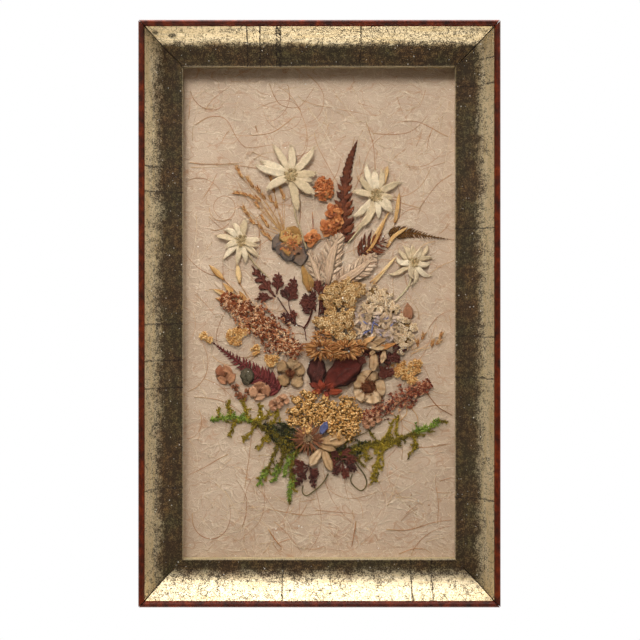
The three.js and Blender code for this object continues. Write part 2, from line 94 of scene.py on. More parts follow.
class Outline(Enum):
    """Leaf outlines, as (where it is widest, the base's share of that width, how late the tip narrows)."""

    LANCE = (0.4, 0.5, 1.5)
    STRAP = (0.5, 0.7, 3.2)
    WEDGE = (0.75, 0.35, 2.6)
    OVAL = (0.5, 0.3, 2.0)
    ROUND = (0.58, 0.34, 2.8)
    FLOSS = (0.5, 0.7, 2.5)
    BRACT = (0.32, 0.86, 2.1)
    BROAD = (0.6, 0.62, 3.4)


# ------------------------------------------------------------------------------------------------ small helpers
def linear(colour: str) -> tuple[float, float, float, float]:
    """Turns an sRGB hex colour into linear RGBA.

    Args:
        colour: The colour, such as "#c9ae95".

    Returns:
        Linear red, green, blue and an alpha of 1.
    """
    parts = [int(colour[i:i + 2], 16) / 255 for i in (1, 3, 5)]
    red, green, blue = (p / 12.92 if p <= 0.04045 else ((p + 0.055) / 1.055) ** 2.4 for p in parts)
    return red, green, blue, 1.0


def per_metre(size: float) -> float:
    """Gives a texture's scale, in repeats per metre, for a feature of that size in millimetres."""
    return 1 / (size * MM)


def place(points: np.ndarray) -> np.ndarray:
    """Turns picture points in millimetres into metres in the model's frame.

    Args:
        points: Rows of (x, z, h).

    Returns:
        Rows of (x, y, z) in metres.
    """
    return np.stack((points[:, 0], -points[:, 2], points[:, 1] + CENTRE_Z), axis=1) * MM


def node_heights(node: str) -> tuple[float, float]:
    """Gives the heights from the wall, in millimetres, of a solid's back and front."""
    low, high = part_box(node)
    return -high[1] / MM, -low[1] / MM


def smooth_curve(points: Path, steps: int) -> np.ndarray:
    """Draws a Catmull-Rom curve through points.

    Args:
        points: Two or more points of two or three numbers.
        steps: How many points the curve gets.

    Returns:
        The curve's points, evenly spread over the spans.
    """
    knots = np.array(points, float)
    knots = np.vstack((2 * knots[0] - knots[1], knots, 2 * knots[-1] - knots[-2]))
    at = np.linspace(0, len(knots) - 3 - TINY, steps)
    span = at.astype(int)
    t = (at - span)[:, None]
    p0, p1, p2, p3 = (knots[span + k] for k in range(4))
    return 0.5 * (2 * p1 + (p2 - p0) * t + (2 * p0 - 5 * p1 + 4 * p2 - p3) * t**2
                  + (3 * p1 - p0 - 3 * p2 + p3) * t**3)


def polar(centre: Spot, radius: float, degrees: float) -> tuple[float, float]:
    """Gives the point at that distance and direction from a centre."""
    turn = math.radians(degrees)
    return centre[0] + radius * math.cos(turn), centre[1] + radius * math.sin(turn)


def raised(path: np.ndarray, start: float, end: float, arch: float = 0.0) -> np.ndarray:
    """Gives a flat path its heights.

    Args:
        path: Rows that start with (x, z).
        start: The first point's height.
        end: The last point's height.
        arch: How much higher the middle is than a straight line between them.

    Returns:
        Rows of (x, z, h).
    """
    t = np.linspace(0, 1, len(path))
    heights = start + (end - start) * t + arch * 4 * t * (1 - t)
    return np.column_stack((path[:, :2], heights))


def leaf_widths(outline: Outline, steps: int) -> np.ndarray:
    """Gives an outline's half widths along a leaf.

    Args:
        outline: The outline.
        steps: How many half widths it gets.

    Returns:
        The half widths, 1 where it is widest and 0 at the tip.
    """
    widest, base, tip = outline.value
    t = np.linspace(0, 1, steps)
    rise = base + (1 - base) * np.sin(np.clip(t / widest, 0, 1) * math.pi / 2)
    return rise * (1 - np.clip((t - widest) / (1 - widest), 0, 1) ** tip)


def toothed(widths: np.ndarray, teeth: float, depth: float, offset: float = 0.0) -> np.ndarray:
    """Cuts forward-leaning teeth into half widths.

    Args:
        widths: The half widths.
        teeth: How many teeth there are along them.
        depth: How deep they are, as a share of the half width.
        offset: How far they are moved on, as a share of a tooth.

    Returns:
        The new half widths.
    """
    lean = 0.75
    phase = (np.linspace(0, teeth, len(widths)) + offset) % 1
    saw = np.where(phase < lean, phase / lean, (1 - phase) / (1 - lean))
    return widths * (1 - depth * (1 - saw))


def rough(x: float, z: float, size: float, seed: float = 0.0) -> float:
    """Gives smooth noise from -1 to 1 with features of that size in millimetres."""
    return noise.noise(Vector((x / size, z / size, seed)))


# ------------------------------------------------------------------------------------------------ mesh drafts
def ball_template(around: int, rings: int) -> Shape:
    """Makes a unit sphere.

    Args:
        around: Points round each ring.
        rings: Rings between the two poles.

    Returns:
        The points and the faces, wound outwards.
    """
    points = [(0.0, 0.0, -1.0)]
    for ring in range(1, rings + 1):
        tilt = math.pi * ring / (rings + 1)
        for step in range(around):
            turn = 2 * math.pi * (step + 0.5 * (ring % 2)) / around
            points.append((math.sin(tilt) * math.cos(turn), math.sin(tilt) * math.sin(turn), -math.cos(tilt)))
    points.append((0.0, 0.0, 1.0))
    last = len(points) - 1
    faces = []
    for step in range(around):
        after = (step + 1) % around
        faces.append((0, 1 + after, 1 + step))
        for ring in range(rings - 1):
            a, b = 1 + ring * around, 1 + (ring + 1) * around
            faces.append((a + step, a + after, b + after, b + step))
        top = 1 + (rings - 1) * around
        faces.append((top + step, top + after, last))
    return np.array(points), faces


BALL = ball_template(8, 4)
GRAIN = ball_template(5, 2)
# Sections of a leaf: the full one, and a plain one for leaves of so few steps that it can't be seen.
LAMINA_RING = np.array([(-1, 0), (-0.55, 0.8), (0, 1), (0.55, 0.8), (1, 0), (0.5, -1), (-0.5, -1)], float)
SLIVER_RING = np.array([(-1, 0), (0, 1), (1, 0), (0, -1)], float)
SLIVER_STEPS = 8
LEAST_WIDTH = 0.03


class Draft:
    """Gathers many small closed shapes into one mesh.

    Each point carries a tone (one random number for the element it belongs to), a run (0 at the element's base
    and 1 at its tip) and a side (0 on the midrib and 1 on the edge).
    """

    def __init__(self, rng: random.Random | None = None) -> None:
        """Starts an empty draft.

        Args:
            rng: Where its shapes' random numbers come from.
        """
        self.rng = rng or random.Random(SEED)
        self.points: list[np.ndarray] = []
        self.faces: list[tuple[int, ...]] = []
        self.coats: list[int] = []
        self.marks: dict[str, list[np.ndarray]] = {"tone": [], "run": [], "side": []}
        self.count = 0

    def add(self, points: np.ndarray, faces: list[tuple[int, ...]], coat: int = 0, tone: float = 0.5,
            run: np.ndarray | float = 1.0, side: np.ndarray | float = 0.0) -> None:
        """Adds one closed shape.

        Args:
            points: Rows of (x, z, h).
            faces: The shape's faces, counted from its own first point.
            coat: Which of the piece's materials it gets.
            tone: The element's tone.
            run: Each point's run, or one for all.
            side: Each point's side, or one for all.
        """
        start = self.count
        self.points.append(points)
        self.faces.extend(tuple(start + i for i in face) for face in faces)
        self.coats.extend([coat] * len(faces))
        size = len(points)
        for name, value in (("tone", tone), ("run", run), ("side", side)):
            self.marks[name].append(np.broadcast_to(np.asarray(value, float), (size,)))
        self.count += size

    def sweep(self, path: np.ndarray, left: np.ndarray, right: np.ndarray, thick: np.ndarray,
              ring: np.ndarray, cup: float = 0.0, twist: float = 0.0, coat: int = 0, tone: float = 0.5) -> None:
        """Adds a closed loft along a path.

        Args:
            path: Rows of (x, z, h).
            left: Half widths to the left of the path.
            right: Half widths to the right.
            thick: Half thicknesses.
            ring: The section, as rows of (side, rise) from -1 to 1.
            cup: How far the edges rise over the midrib, as a share of the half width.
            twist: How far the section turns about the path, in radians, from base to tip.
            coat: Which of the piece's materials it gets.
            tone: The element's tone.
        """
        steps, size = len(path), len(ring)
        along = np.gradient(path, axis=0)
        along /= np.linalg.norm(along, axis=1, keepdims=True) + TINY
        across = np.column_stack((-along[:, 1], along[:, 0], np.zeros(steps)))
        across /= np.linalg.norm(across, axis=1, keepdims=True) + TINY
        rise = np.cross(along, across)
        rise[rise[:, 2] < 0] *= -1
        turn = np.linspace(0, twist, steps)[:, None]
        across, rise = across * np.cos(turn) + rise * np.sin(turn), rise * np.cos(turn) - across * np.sin(turn)
        sides = ring[:, 0][None, :]
        widths = np.where(sides < 0, np.asarray(right)[:, None], np.asarray(left)[:, None])
        lifts = ring[:, 1][None, :] * np.asarray(thick)[:, None] + cup * sides**2 * widths
        points = path[:, None, :] + across[:, None, :] * (sides * widths)[:, :, None]
        points = (points + rise[:, None, :] * lifts[:, :, None]).reshape(-1, 3)
        grid = np.arange(steps * size).reshape(steps, size)
        a, b = grid[:-1], grid[1:]
        a_next, b_next = np.roll(a, -1, axis=1), np.roll(b, -1, axis=1)
        quads = np.stack((a, b, b_next, a_next), axis=2).reshape(-1, 4).tolist()
        faces = [tuple(q) for q in quads] + [tuple(grid[0].tolist()), tuple(grid[-1][::-1].tolist())]
        run = np.repeat(np.linspace(0, 1, steps), size)
        side = np.tile(np.abs(ring[:, 0]), steps)
        self.add(points, faces, coat, tone, run, side)

    def tube(self, path: np.ndarray, radius: float, end: float | None = None, sides: int = 5,
             flat: float = 1.0, coat: int = 0, tone: float = 0.5) -> None:
        """Adds a tapering stem, stalk or fibre.

        Args:
            path: Rows of (x, z, h).
            radius: Its radius at the start.
            end: Its radius at the end; by default four tenths of the first.
            sides: How many sides it has.
            flat: Its height as a share of its width.
            coat: Which of the piece's materials it gets.
            tone: The element's tone.
        """
        end = radius * 0.4 if end is None else end
        radii = np.linspace(radius, end, len(path))
        turns = 2 * math.pi * np.arange(sides)[::-1] / sides
        ring = np.column_stack((np.cos(turns), np.sin(turns)))
        self.sweep(path, radii, radii, radii * flat, ring, coat=coat, tone=tone)

    def blade(self, path: np.ndarray, widths: np.ndarray, thick: float = 0.12, cup: float = 0.0,
              twist: float = 0.0, coat: int = 0, tone: float = 0.5, right: np.ndarray | None = None) -> None:
        """Adds a flat leaf, petal or pinna.

        Args:
            path: Rows of (x, z, h).
            widths: Its half widths along the path.
            thick: Half its greatest thickness.
            cup: How far its edges rise, as a share of the half width.
            twist: How far it turns about its midrib, in radians.
            coat: Which of the piece's materials it gets.
            tone: The element's tone.
            right: Its half widths on the right, where they differ.
        """
        widths = np.maximum(widths, LEAST_WIDTH)
        right = widths if right is None else np.maximum(right, LEAST_WIDTH)
        thickness = thick * np.clip(widths / widths.max(), 0.25, 1)
        ring = SLIVER_RING if len(path) <= SLIVER_STEPS else LAMINA_RING
        self.sweep(path, widths, right, thickness, ring, cup, twist, coat, tone)

    def leaf(self, base: Spot, tip: Spot, half: float, floor: float,
             outline: Outline = Outline.LANCE, bow: float = 0.0, arch: float = 0.15, end: float = 0.0,
             thick: float = 0.11, cup: float = 0.2, twist: float = 0.0, teeth: int = 0, ragged: float = 0.0,
             coat: int = 0, tone: float = 0.5, steps: int = 10) -> None:
        """Adds a leaf, petal or ray between two points of the picture.

        Args:
            base: Where it starts.
            tip: Where it ends.
            half: Its greatest half width.
            floor: The height of its base.
            outline: Its outline.
            bow: How far it bows to the left, as a share of its length.
            arch: How far its middle rises.
            end: How much higher its tip is than its base.
            thick: Half its thickness.
            cup: How far its edges rise, as a share of the half width.
            twist: How far it turns about its midrib, in radians.
            teeth: How many teeth each edge has.
            ragged: How uneven its edges are, as a share of the half width.
            coat: Which of the piece's materials it gets.
            tone: Its tone.
            steps: How many sections it has.
        """
        (x0, z0), (x1, z1) = base[:2], tip[:2]
        middle = ((x0 + x1) / 2 - (z1 - z0) * bow, (z0 + z1) / 2 + (x1 - x0) * bow)
        path = raised(smooth_curve([(x0, z0), middle, (x1, z1)], steps), floor, floor + end, arch)
        left = half * leaf_widths(outline, steps)
        right = left
        if teeth:
            left, right = toothed(left, teeth, 0.4), toothed(left, teeth, 0.4, 0.4)
        if ragged:
            t = np.linspace(0, 1, steps)
            left = left * (1 + ragged * np.sin(t * 17 + 9 * tone))
            right = right * (1 + ragged * np.sin(t * 13 - 7 * tone))
            path[:, 2] += ragged * 1.6 * np.sin(t * 11 + 5 * tone)
        self.blade(path, left, thick, cup, twist, coat, tone, right)

    def blob(self, centre: tuple[float, float, float], radii: tuple[float, float, float], degrees: float = 0.0,
             tilt: float = 0.0, coat: int = 0, tone: float = 0.5, lump: float = 0.0,
             template: Shape = GRAIN, run: float | None = None) -> None:
        """Adds a rounded grain, bud or floret.

        Args:
            centre: Its middle.
            radii: Half its length, width and height.
            degrees: The direction of its length in the picture's plane.
            tilt: How far its length leans out of that plane, in degrees.
            coat: Which of the piece's materials it gets.
            tone: The element's tone.
            lump: How far its surface is dented, as a share of its size.
            template: The unit shape.
            run: One run for the whole of it; by default it goes from 0 at one end to 1 at the other.
        """
        unit, faces = template
        shape = unit.copy()
        if lump:
            shape = shape * (1 + lump * np.sin(5 * shape[:, :1] + 40 * tone) * np.cos(4 * shape[:, 1:2] - 9 * tone))
        turn = Matrix.Rotation(math.radians(degrees), 3, "Z") @ Matrix.Rotation(-math.radians(tilt), 3, "Y")
        points = (shape * np.array(radii)) @ np.array(turn).T + np.array(centre)
        self.add(points, faces, coat, tone, (unit[:, 0] + 1) / 2 if run is None else run)

    def piece(self, name: str, coats: Coats, slot: str, replaced: tuple[str, ...] = ()) -> bpy.types.Object:
        """Makes the draft into one piece that rides on the frame.

        Args:
            name: The piece's name.
            coats: Its materials.
            slot: The slot that its finish belongs to; not used.
            replaced: The solids it stands for.

        Returns:
            The new object.
        """
        points = np.concatenate(self.points)
        mesh = bpy.data.meshes.new(name)
        mesh.from_pydata(place(points).tolist(), [], self.faces)
        for coat in coats:
            mesh.materials.append(coat)
        mesh.polygons.foreach_set("material_index", self.coats)
        mesh.polygons.foreach_set("use_smooth", [True] * len(mesh.polygons))
        for mark, values in self.marks.items():
            layer = mesh.attributes.new(mark, "FLOAT", "POINT")
            layer.data.foreach_set("value", np.concatenate(values).astype(np.float32))
        mesh.validate()
        obj = bpy.data.objects.new(name, mesh)
        bpy.context.scene.collection.objects.link(obj)
        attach(obj, Rides.ROOT.value)
        if replaced:
            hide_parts(*replaced)
        LOG.info("%s: %d points, %d faces", name, len(points), len(self.faces))
        return obj


# ------------------------------------------------------------------------------------------------ node helper
MIX_FACTOR, MIX_A, MIX_B, MIX_OUT = 0, 6, 7, 2
Socket = bpy.types.NodeSocket


def add_node(tree: bpy.types.NodeTree, kind: str, inputs: dict | None = None, out: int | str = 0,
             stops: Stops = (), **settings: object) -> Socket | None:
    """Adds a shader node with its settings and links.

    Args:
        tree: The node tree.
        kind: The node's type, without the words that all shader nodes start with.
        inputs: Values or sockets by input name or number; a socket is linked.
        out: Which output the caller goes on with.
        stops: A colour ramp's stops, as (place, sRGB hex).
        settings: The node's own properties.

    Returns:
        That output, or nothing for the node that ends a tree.
    """
    node = tree.nodes.new("ShaderNode" + kind)
    for name, value in settings.items():
        setattr(node, name, value)
    for key, value in (inputs or {}).items():
        if isinstance(value, Socket):
            tree.links.new(value, node.inputs[key])
        else:
            node.inputs[key].default_value = value
    if stops:
        elements = node.color_ramp.elements
        while len(elements) < len(stops):
            elements.new(0.5)
        for element, (at, colour) in zip(elements, stops):
            element.position = at
            element.color = linear(colour)
    return node.outputs[out] if node.outputs else None


def new_tree(owner: bpy.types.Material | bpy.types.World) -> Callable[..., Socket]:
    """Empties the node tree of a material or world.

    Args:
        owner: The material or world.

    Returns:
        The function that adds nodes to the tree.
    """
    owner.use_nodes = True
    owner.node_tree.nodes.clear()
    return partial(add_node, owner.node_tree)


# ------------------------------------------------------------------------------------------------ frame finishes
@dataclass(frozen=True)
class GiltLeaf:
    """Imitation gold leaf laid over dark bole and rubbed back.

    The metal gives a broken, pale glint on the outer slope of the scoop. Towards the picture it is toned down with
    a brown glaze, so only flecks of metal show there. Leaves meet in thin dark joints, and the size under them
    crackles here and there.

    Attributes:
        leaf: The bright leaf, and leaf_deep its duller streaks.
        glaze: The brown glaze, and glaze_green its greener patches.
        bole: The dark ground that shows where the leaf is gone.
        joint: Half the width of a joint.
        crackle: The spacing of the cracks.
        streak_pull: How much the streaks are stretched along the rail, and streak_spread across it.
        arris: Where the rubbed arris starts and is full, from the rail's outside edge: worn leaf that also serves as a
            painted highlight along the lip.
        arris_weight: How much of the glaze is rubbed off there.
    """

    leaf: str = "#f7ecd2"
    leaf_deep: str = "#c4a972"
    glaze: str = "#6f4814"
    glaze_green: str = "#544a1e"
    bole: str = "#20140a"
    joint: float = 0.16
    crackle: float = 4.2
    streak_pull: float = 0.045
    streak_spread: float = 0.8
    arris: tuple[float, float] = (20.55, 20.8)
    arris_weight: float = 1.35

    def build(self) -> bpy.types.Material:
        """Builds the material from the marks that a rail carries.

        Returns:
            The material.
        """
        material = bpy.data.materials.new("gilt_leaf")
        add = new_tree(material)
        spot = add("TexCoord", out="Object")
        across, along, glazing, joint = (
            add("Attribute", out="Fac", attribute_name=mark) for mark in ("across", "along", "glazing", "joint"))
        cloud, grain, fleck = (
            add("TexNoise", {"Vector": spot, "Scale": per_metre(size), "Detail": detail, "Roughness": 0.64})
            for size, detail in ((11.0, 3.0), (0.62, 5.0), (2.4, 4.0)))
        # Streaks run along the rail: the place along it is squeezed before the noise.
        squeezed, spread = (add("Math", {0: place_on_rail, 1: pull}, operation="MULTIPLY")
                            for place_on_rail, pull in ((along, self.streak_pull), (across, self.streak_spread)))
        streak_spot = add("CombineXYZ", {"X": squeezed, "Y": spread})
        streak = add("TexNoise", {"Vector": streak_spot, "Scale": 1.0, "Detail": 4.0})
        wander = glazing
        for value, weight in ((cloud, 0.9), (fleck, 0.6), (grain, 0.7)):
            wander = add("Math", {0: value, 1: weight, 2: wander}, operation="MULTIPLY_ADD")
        glazed = add("MapRange", {"Value": wander, "From Min": 1.08, "From Max": 2.1}, interpolation_type="SMOOTHSTEP")
        # The lip's arris is rubbed through to bright leaf: partly wear, partly a painted highlight for the catch light
        # along the lip.
        lip = add("MapRange", {"Value": across, "From Min": self.arris[0], "From Max": self.arris[1]})
        for share in (fleck, self.arris_weight):
            lip = add("Math", {0: lip, 1: share}, operation="MULTIPLY")
        glazed = add("Math", {0: glazed, 1: lip}, operation="SUBTRACT", use_clamp=True)
        worn: Socket | float = 0.0
        for value, weight in ((grain, 0.92), (fleck, 0.5), (streak, 0.2), (glazed, 0.16)):
            worn = add("Math", {0: value, 1: weight, 2: worn}, operation="MULTIPLY_ADD")
        bare = add("MapRange", {"Value": worn, "From Min": 0.83, "From Max": 0.98})
        # The size crackles where the cloud is high.
        bend = add("TexNoise", {"Vector": spot, "Scale": per_metre(4.5), "Detail": 3.0}, "Color")
        bent = add("VectorMath", {0: bend, 1: (3 * MM,) * 3, 2: spot}, operation="MULTIPLY_ADD")
        cells = add("TexVoronoi", {"Vector": bent, "Scale": per_metre(self.crackle)}, feature="DISTANCE_TO_EDGE")
        cracked = add("MapRange", {"Value": cells, "From Max": 0.035, "To Min": 0.7, "To Max": 0.0})
        some = add("MapRange", {"Value": cloud, "From Min": 0.46, "From Max": 0.56})
        cracked = add("Math", {0: cracked, 1: some}, operation="MULTIPLY")
        # A joint wanders a little, and the leaf bridges it in places.
        ragged = add("Math", {0: fleck, 1: 2.4, 2: -1.2}, operation="MULTIPLY_ADD")
        joint_at = add("Math", {0: joint, 1: ragged}, operation="ADD")
        joint_at = add("Math", {0: joint_at}, operation="ABSOLUTE")
        jointed = add("MapRange", {
            "Value": joint_at, "From Min": self.joint, "From Max": self.joint * 3.5, "To Min": 1.0, "To Max": 0.0})
        open_joint = add("MapRange", {"Value": grain, "From Min": 0.34, "From Max": 0.56, "To Min": 0.3})
        jointed = add("Math", {0: jointed, 1: open_joint}, operation="MULTIPLY")
        dark = add("Math", {0: cracked, 1: jointed}, operation="MAXIMUM")
        tone, bare_dark = (add("Math", {0: share, 1: weight}, operation="MULTIPLY")
                           for share, weight in ((glazed, 0.9), (bare, 0.85)))
        patchy = add("MapRange", {"Value": cloud, "From Min": 0.36, "From Max": 0.66})
        bole = linear(self.bole)
        gold, brown = (
            add("Mix", {MIX_FACTOR: share, MIX_A: linear(low), MIX_B: linear(high)}, MIX_OUT, data_type="RGBA")
            for share, low, high in ((streak, self.leaf_deep, self.leaf), (patchy, self.glaze_green, self.glaze)))
        colour = gold
        for share, over in ((tone, brown), (bare_dark, bole), (dark, bole)):
            colour = add("Mix", {MIX_FACTOR: share, MIX_A: colour, MIX_B: over}, MIX_OUT, data_type="RGBA")
        cover: Socket | float = 0.0
        for value, weight in ((bare, 0.6), (glazed, 0.75), (dark, 0.7)):
            cover = add("Math", {0: value, 1: weight, 2: cover}, operation="MULTIPLY_ADD")
        metal = add("MapRange", {"Value": cover, "To Min": 1.0, "To Max": 0.1})
        gloss = add("MapRange", {"Value": worn, "From Min": 0.5, "From Max": 1.1, "To Min": 0.36, "To Max": 0.66})
        height: Socket | float = 0.0
        for value, weight in ((grain, -0.8), (fleck, -0.6), (bare, -0.4), (dark, -0.9)):
            height = add("Math", {0: value, 1: weight, 2: height}, operation="MULTIPLY_ADD")
        bump = add("Bump", {"Height": height, "Strength": 0.6, "Distance": 0.2 * MM})
        surface = add("BsdfPrincipled", {"Base Color": colour, "Metallic": metal, "Roughness": gloss,
                                         "Specular IOR Level": 0.3, "Normal": bump})
        add("OutputMaterial", {"Surface": surface})
        return material


@dataclass(frozen=True)
class PlainFinish:
    """A surface coloured in patches, with a fine relief: wood, board, lacquer, steel or plaster.

    Attributes:
        name: What it is.
        colours: Its colours, as (place on the ramp, sRGB hex).
        patch: The patches' size.
        roughness: Its surface roughness.
        relief: How high the patches stand.
        metallic: 1 for a metal.
        stretch: How much the pattern is squeezed along x, y and z.
        specular: Its specular level.
    """

    name: str
    colours: Stops
    patch: float
    roughness: float
    relief: float = 0.05
    metallic: float = 0.0
    stretch: tuple[float, float, float] = (1, 1, 1)
    specular: float = 0.5

    def build(self) -> bpy.types.Material:
        """Builds the material.

        Returns:
            The material.
        """
        material = bpy.data.materials.new(self.name)
        add = new_tree(material)
        spot = add("Mapping", {"Vector": add("TexCoord", out="Object"), "Scale": self.stretch})
        value = add("TexNoise", {"Vector": spot, "Scale": per_metre(self.patch), "Detail": 5.0, "Roughness": 0.6})
        colour = add("ValToRGB", {"Fac": value}, stops=self.colours)
        bump = add("Bump", {"Height": value, "Strength": 0.6, "Distance": self.relief * MM})
        surface = add("BsdfPrincipled", {"Base Color": colour, "Metallic": self.metallic, "Roughness": self.roughness,
                                         "Specular IOR Level": self.specular, "Normal": bump})
        add("OutputMaterial", {"Surface": surface})
        return material


# Red bole under thin lacquer, rubbed along the bead: a dark red-brown line round the gold, lighter where rubbed.
RED_LACQUER = PlainFinish("red_bole_lacquer", (
    (0.3, "#260b02"), (0.5, "#501803"), (0.68, "#742a08"), (0.84, "#aa5a26")), 4.0, 0.55, 0.14, specular=0.22)
# Raw limewood, planed: pale straw-brown wood with long grain, seen at the back and in the rabbet.
RAW_WOOD = PlainFinish("raw_limewood", (
    (0.25, "#8a6a45"), (0.5, "#ab8658"), (0.75, "#c4a374")), 3.0, 0.78, 0.1, stretch=(0.12, 1, 0.5))
# Grey-brown pasteboard, pressed: a dead matt back with short fibre flecks.
PASTEBOARD = PlainFinish("grey_pasteboard", (
    (0.3, "#6d5b43"), (0.5, "#8d795a"), (0.7, "#a59270")), 1.4, 0.9, 0.06)
# Mount board cut in strips: a soft cream edge under the glass.
MOUNT_BOARD = PlainFinish("mount_board", ((0.3, "#a8926d"), (0.7, "#c4b08a")), 1.2, 0.9, 0.04)
# Zinc-plated mild steel, passivated: a cool grey glint with duller patches.
ZINC_STEEL = PlainFinish("zinc_plated_steel", (
    (0.3, "#8f8d86"), (0.6, "#b9b7b0"), (0.8, "#d2d0c8")), 2.2, 0.36, 0.03, metallic=1.0)


@dataclass(frozen=True)
class FibrePaper:
    """Handmade mulberry paper: pinkish beige, wrinkled, with long silky strands swirling in it.

    The strands are drawn as the contour lines of soft noise, wider than a real fibre so that they show.

    Attributes:
        tones: The sheet's colours, as (place on the ramp, sRGB hex).
        strands: Each set of strands, as (noise size, half the line's width in the noise's value, colour, weight,
            height).
        drift: How far the strands swirl.
        flatten: How much more often they lie flat than upright, because the pulp was drawn sideways.
    """

    tones: Stops = ((0.3, "#bba08a"), (0.5, "#c3a790"), (0.7, "#cab09a"))
    strands: tuple[tuple[float, float, str, float, float], ...] = (
        (17.0, 0.026, "#e6d0b8", 0.26, 0.6), (10.0, 0.024, "#e6d0b8", 0.32, 0.5), (6.5, 0.026, "#e6d0b8", 0.3, 0.45),
        (19.0, 0.012, "#a96c3c", 0.34, 0.2), (13.0, 0.01, "#a96c3c", 0.3, 0.15))
    drift: float = 22.0
    flatten: float = 1.7

    def build(self) -> bpy.types.Material:
        """Builds the material.

        Returns:
            The material.
        """
        material = bpy.data.materials.new("mulberry_paper")
        add = new_tree(material)
        spot = add("TexCoord", out="Object")
        cloud, small, fine = (
            add("TexNoise", {"Vector": spot, "Scale": per_metre(size), "Detail": detail, "Roughness": 0.6})
            for size, detail in ((34.0, 3.0), (3.4, 4.0), (0.9, 3.0)))
        colour = add("ValToRGB", {"Fac": cloud}, stops=self.tones)
        bent = add("VectorMath", {0: cloud.node.outputs["Color"], 1: (self.drift * MM,) * 3, 2: spot},
                   operation="MULTIPLY_ADD")
        bent = add("Mapping", {"Vector": bent, "Scale": (1.0, 1.0, self.flatten)})
        height = add("Math", {0: small, 1: 0.9}, operation="MULTIPLY")
        height = add("Math", {0: fine, 1: 0.3, 2: height}, operation="MULTIPLY_ADD")
        for number, (size, width, tint, weight, rise) in enumerate(self.strands):
            moved = add("VectorMath", {0: bent, 1: (0.31 * number, 0.2, 0.17 * number)}, operation="ADD")
            value = add("TexNoise", {"Vector": moved, "Scale": per_metre(size), "Detail": 2.0, "Roughness": 0.42})
            value = add("Math", {0: value, 1: 0.5}, operation="SUBTRACT")
            value = add("Math", {0: value}, operation="ABSOLUTE")
            strand = add("MapRange", {"Value": value, "From Max": width, "To Min": 1.0, "To Max": 0.0},
                         interpolation_type="SMOOTHSTEP")
            strand = add("Math", {0: strand, 1: small}, operation="MULTIPLY")
            share = add("Math", {0: strand, 1: weight * 2.1}, operation="MULTIPLY")
            colour = add("Mix", {MIX_FACTOR: share, MIX_A: colour, MIX_B: linear(tint)}, MIX_OUT, data_type="RGBA")
            height = add("Math", {0: strand, 1: rise, 2: height}, operation="MULTIPLY_ADD")
        bump = add("Bump", {"Height": height, "Strength": 0.75, "Distance": 0.5 * MM})
        surface = add("BsdfPrincipled", {
            "Base Color": colour, "Roughness": 0.6, "Sheen Weight": 0.1, "Normal": bump})
        add("OutputMaterial", {"Surface": surface})
        return material


@dataclass(frozen=True)
class PictureGlass:
    """Clear float glass, 2 mm: it adds a faint gloss and hides nothing."""

    tint: str = "#fafdfb"

    def build(self) -> bpy.types.Material:
        """Builds the material.

        Returns:
            The material.
        """
        material = bpy.data.materials.new("picture_glass")
        add = new_tree(material)
        surface = add("BsdfPrincipled", {
            "Base Color": linear(self.tint), "Roughness": 0.02, "IOR": 1.5, "Transmission Weight": 1.0})
        add("OutputMaterial", {"Surface": surface})
        return material


# ------------------------------------------------------------------------------------------------ the moulding
GILDED, LACQUERED, RAW = range(3)


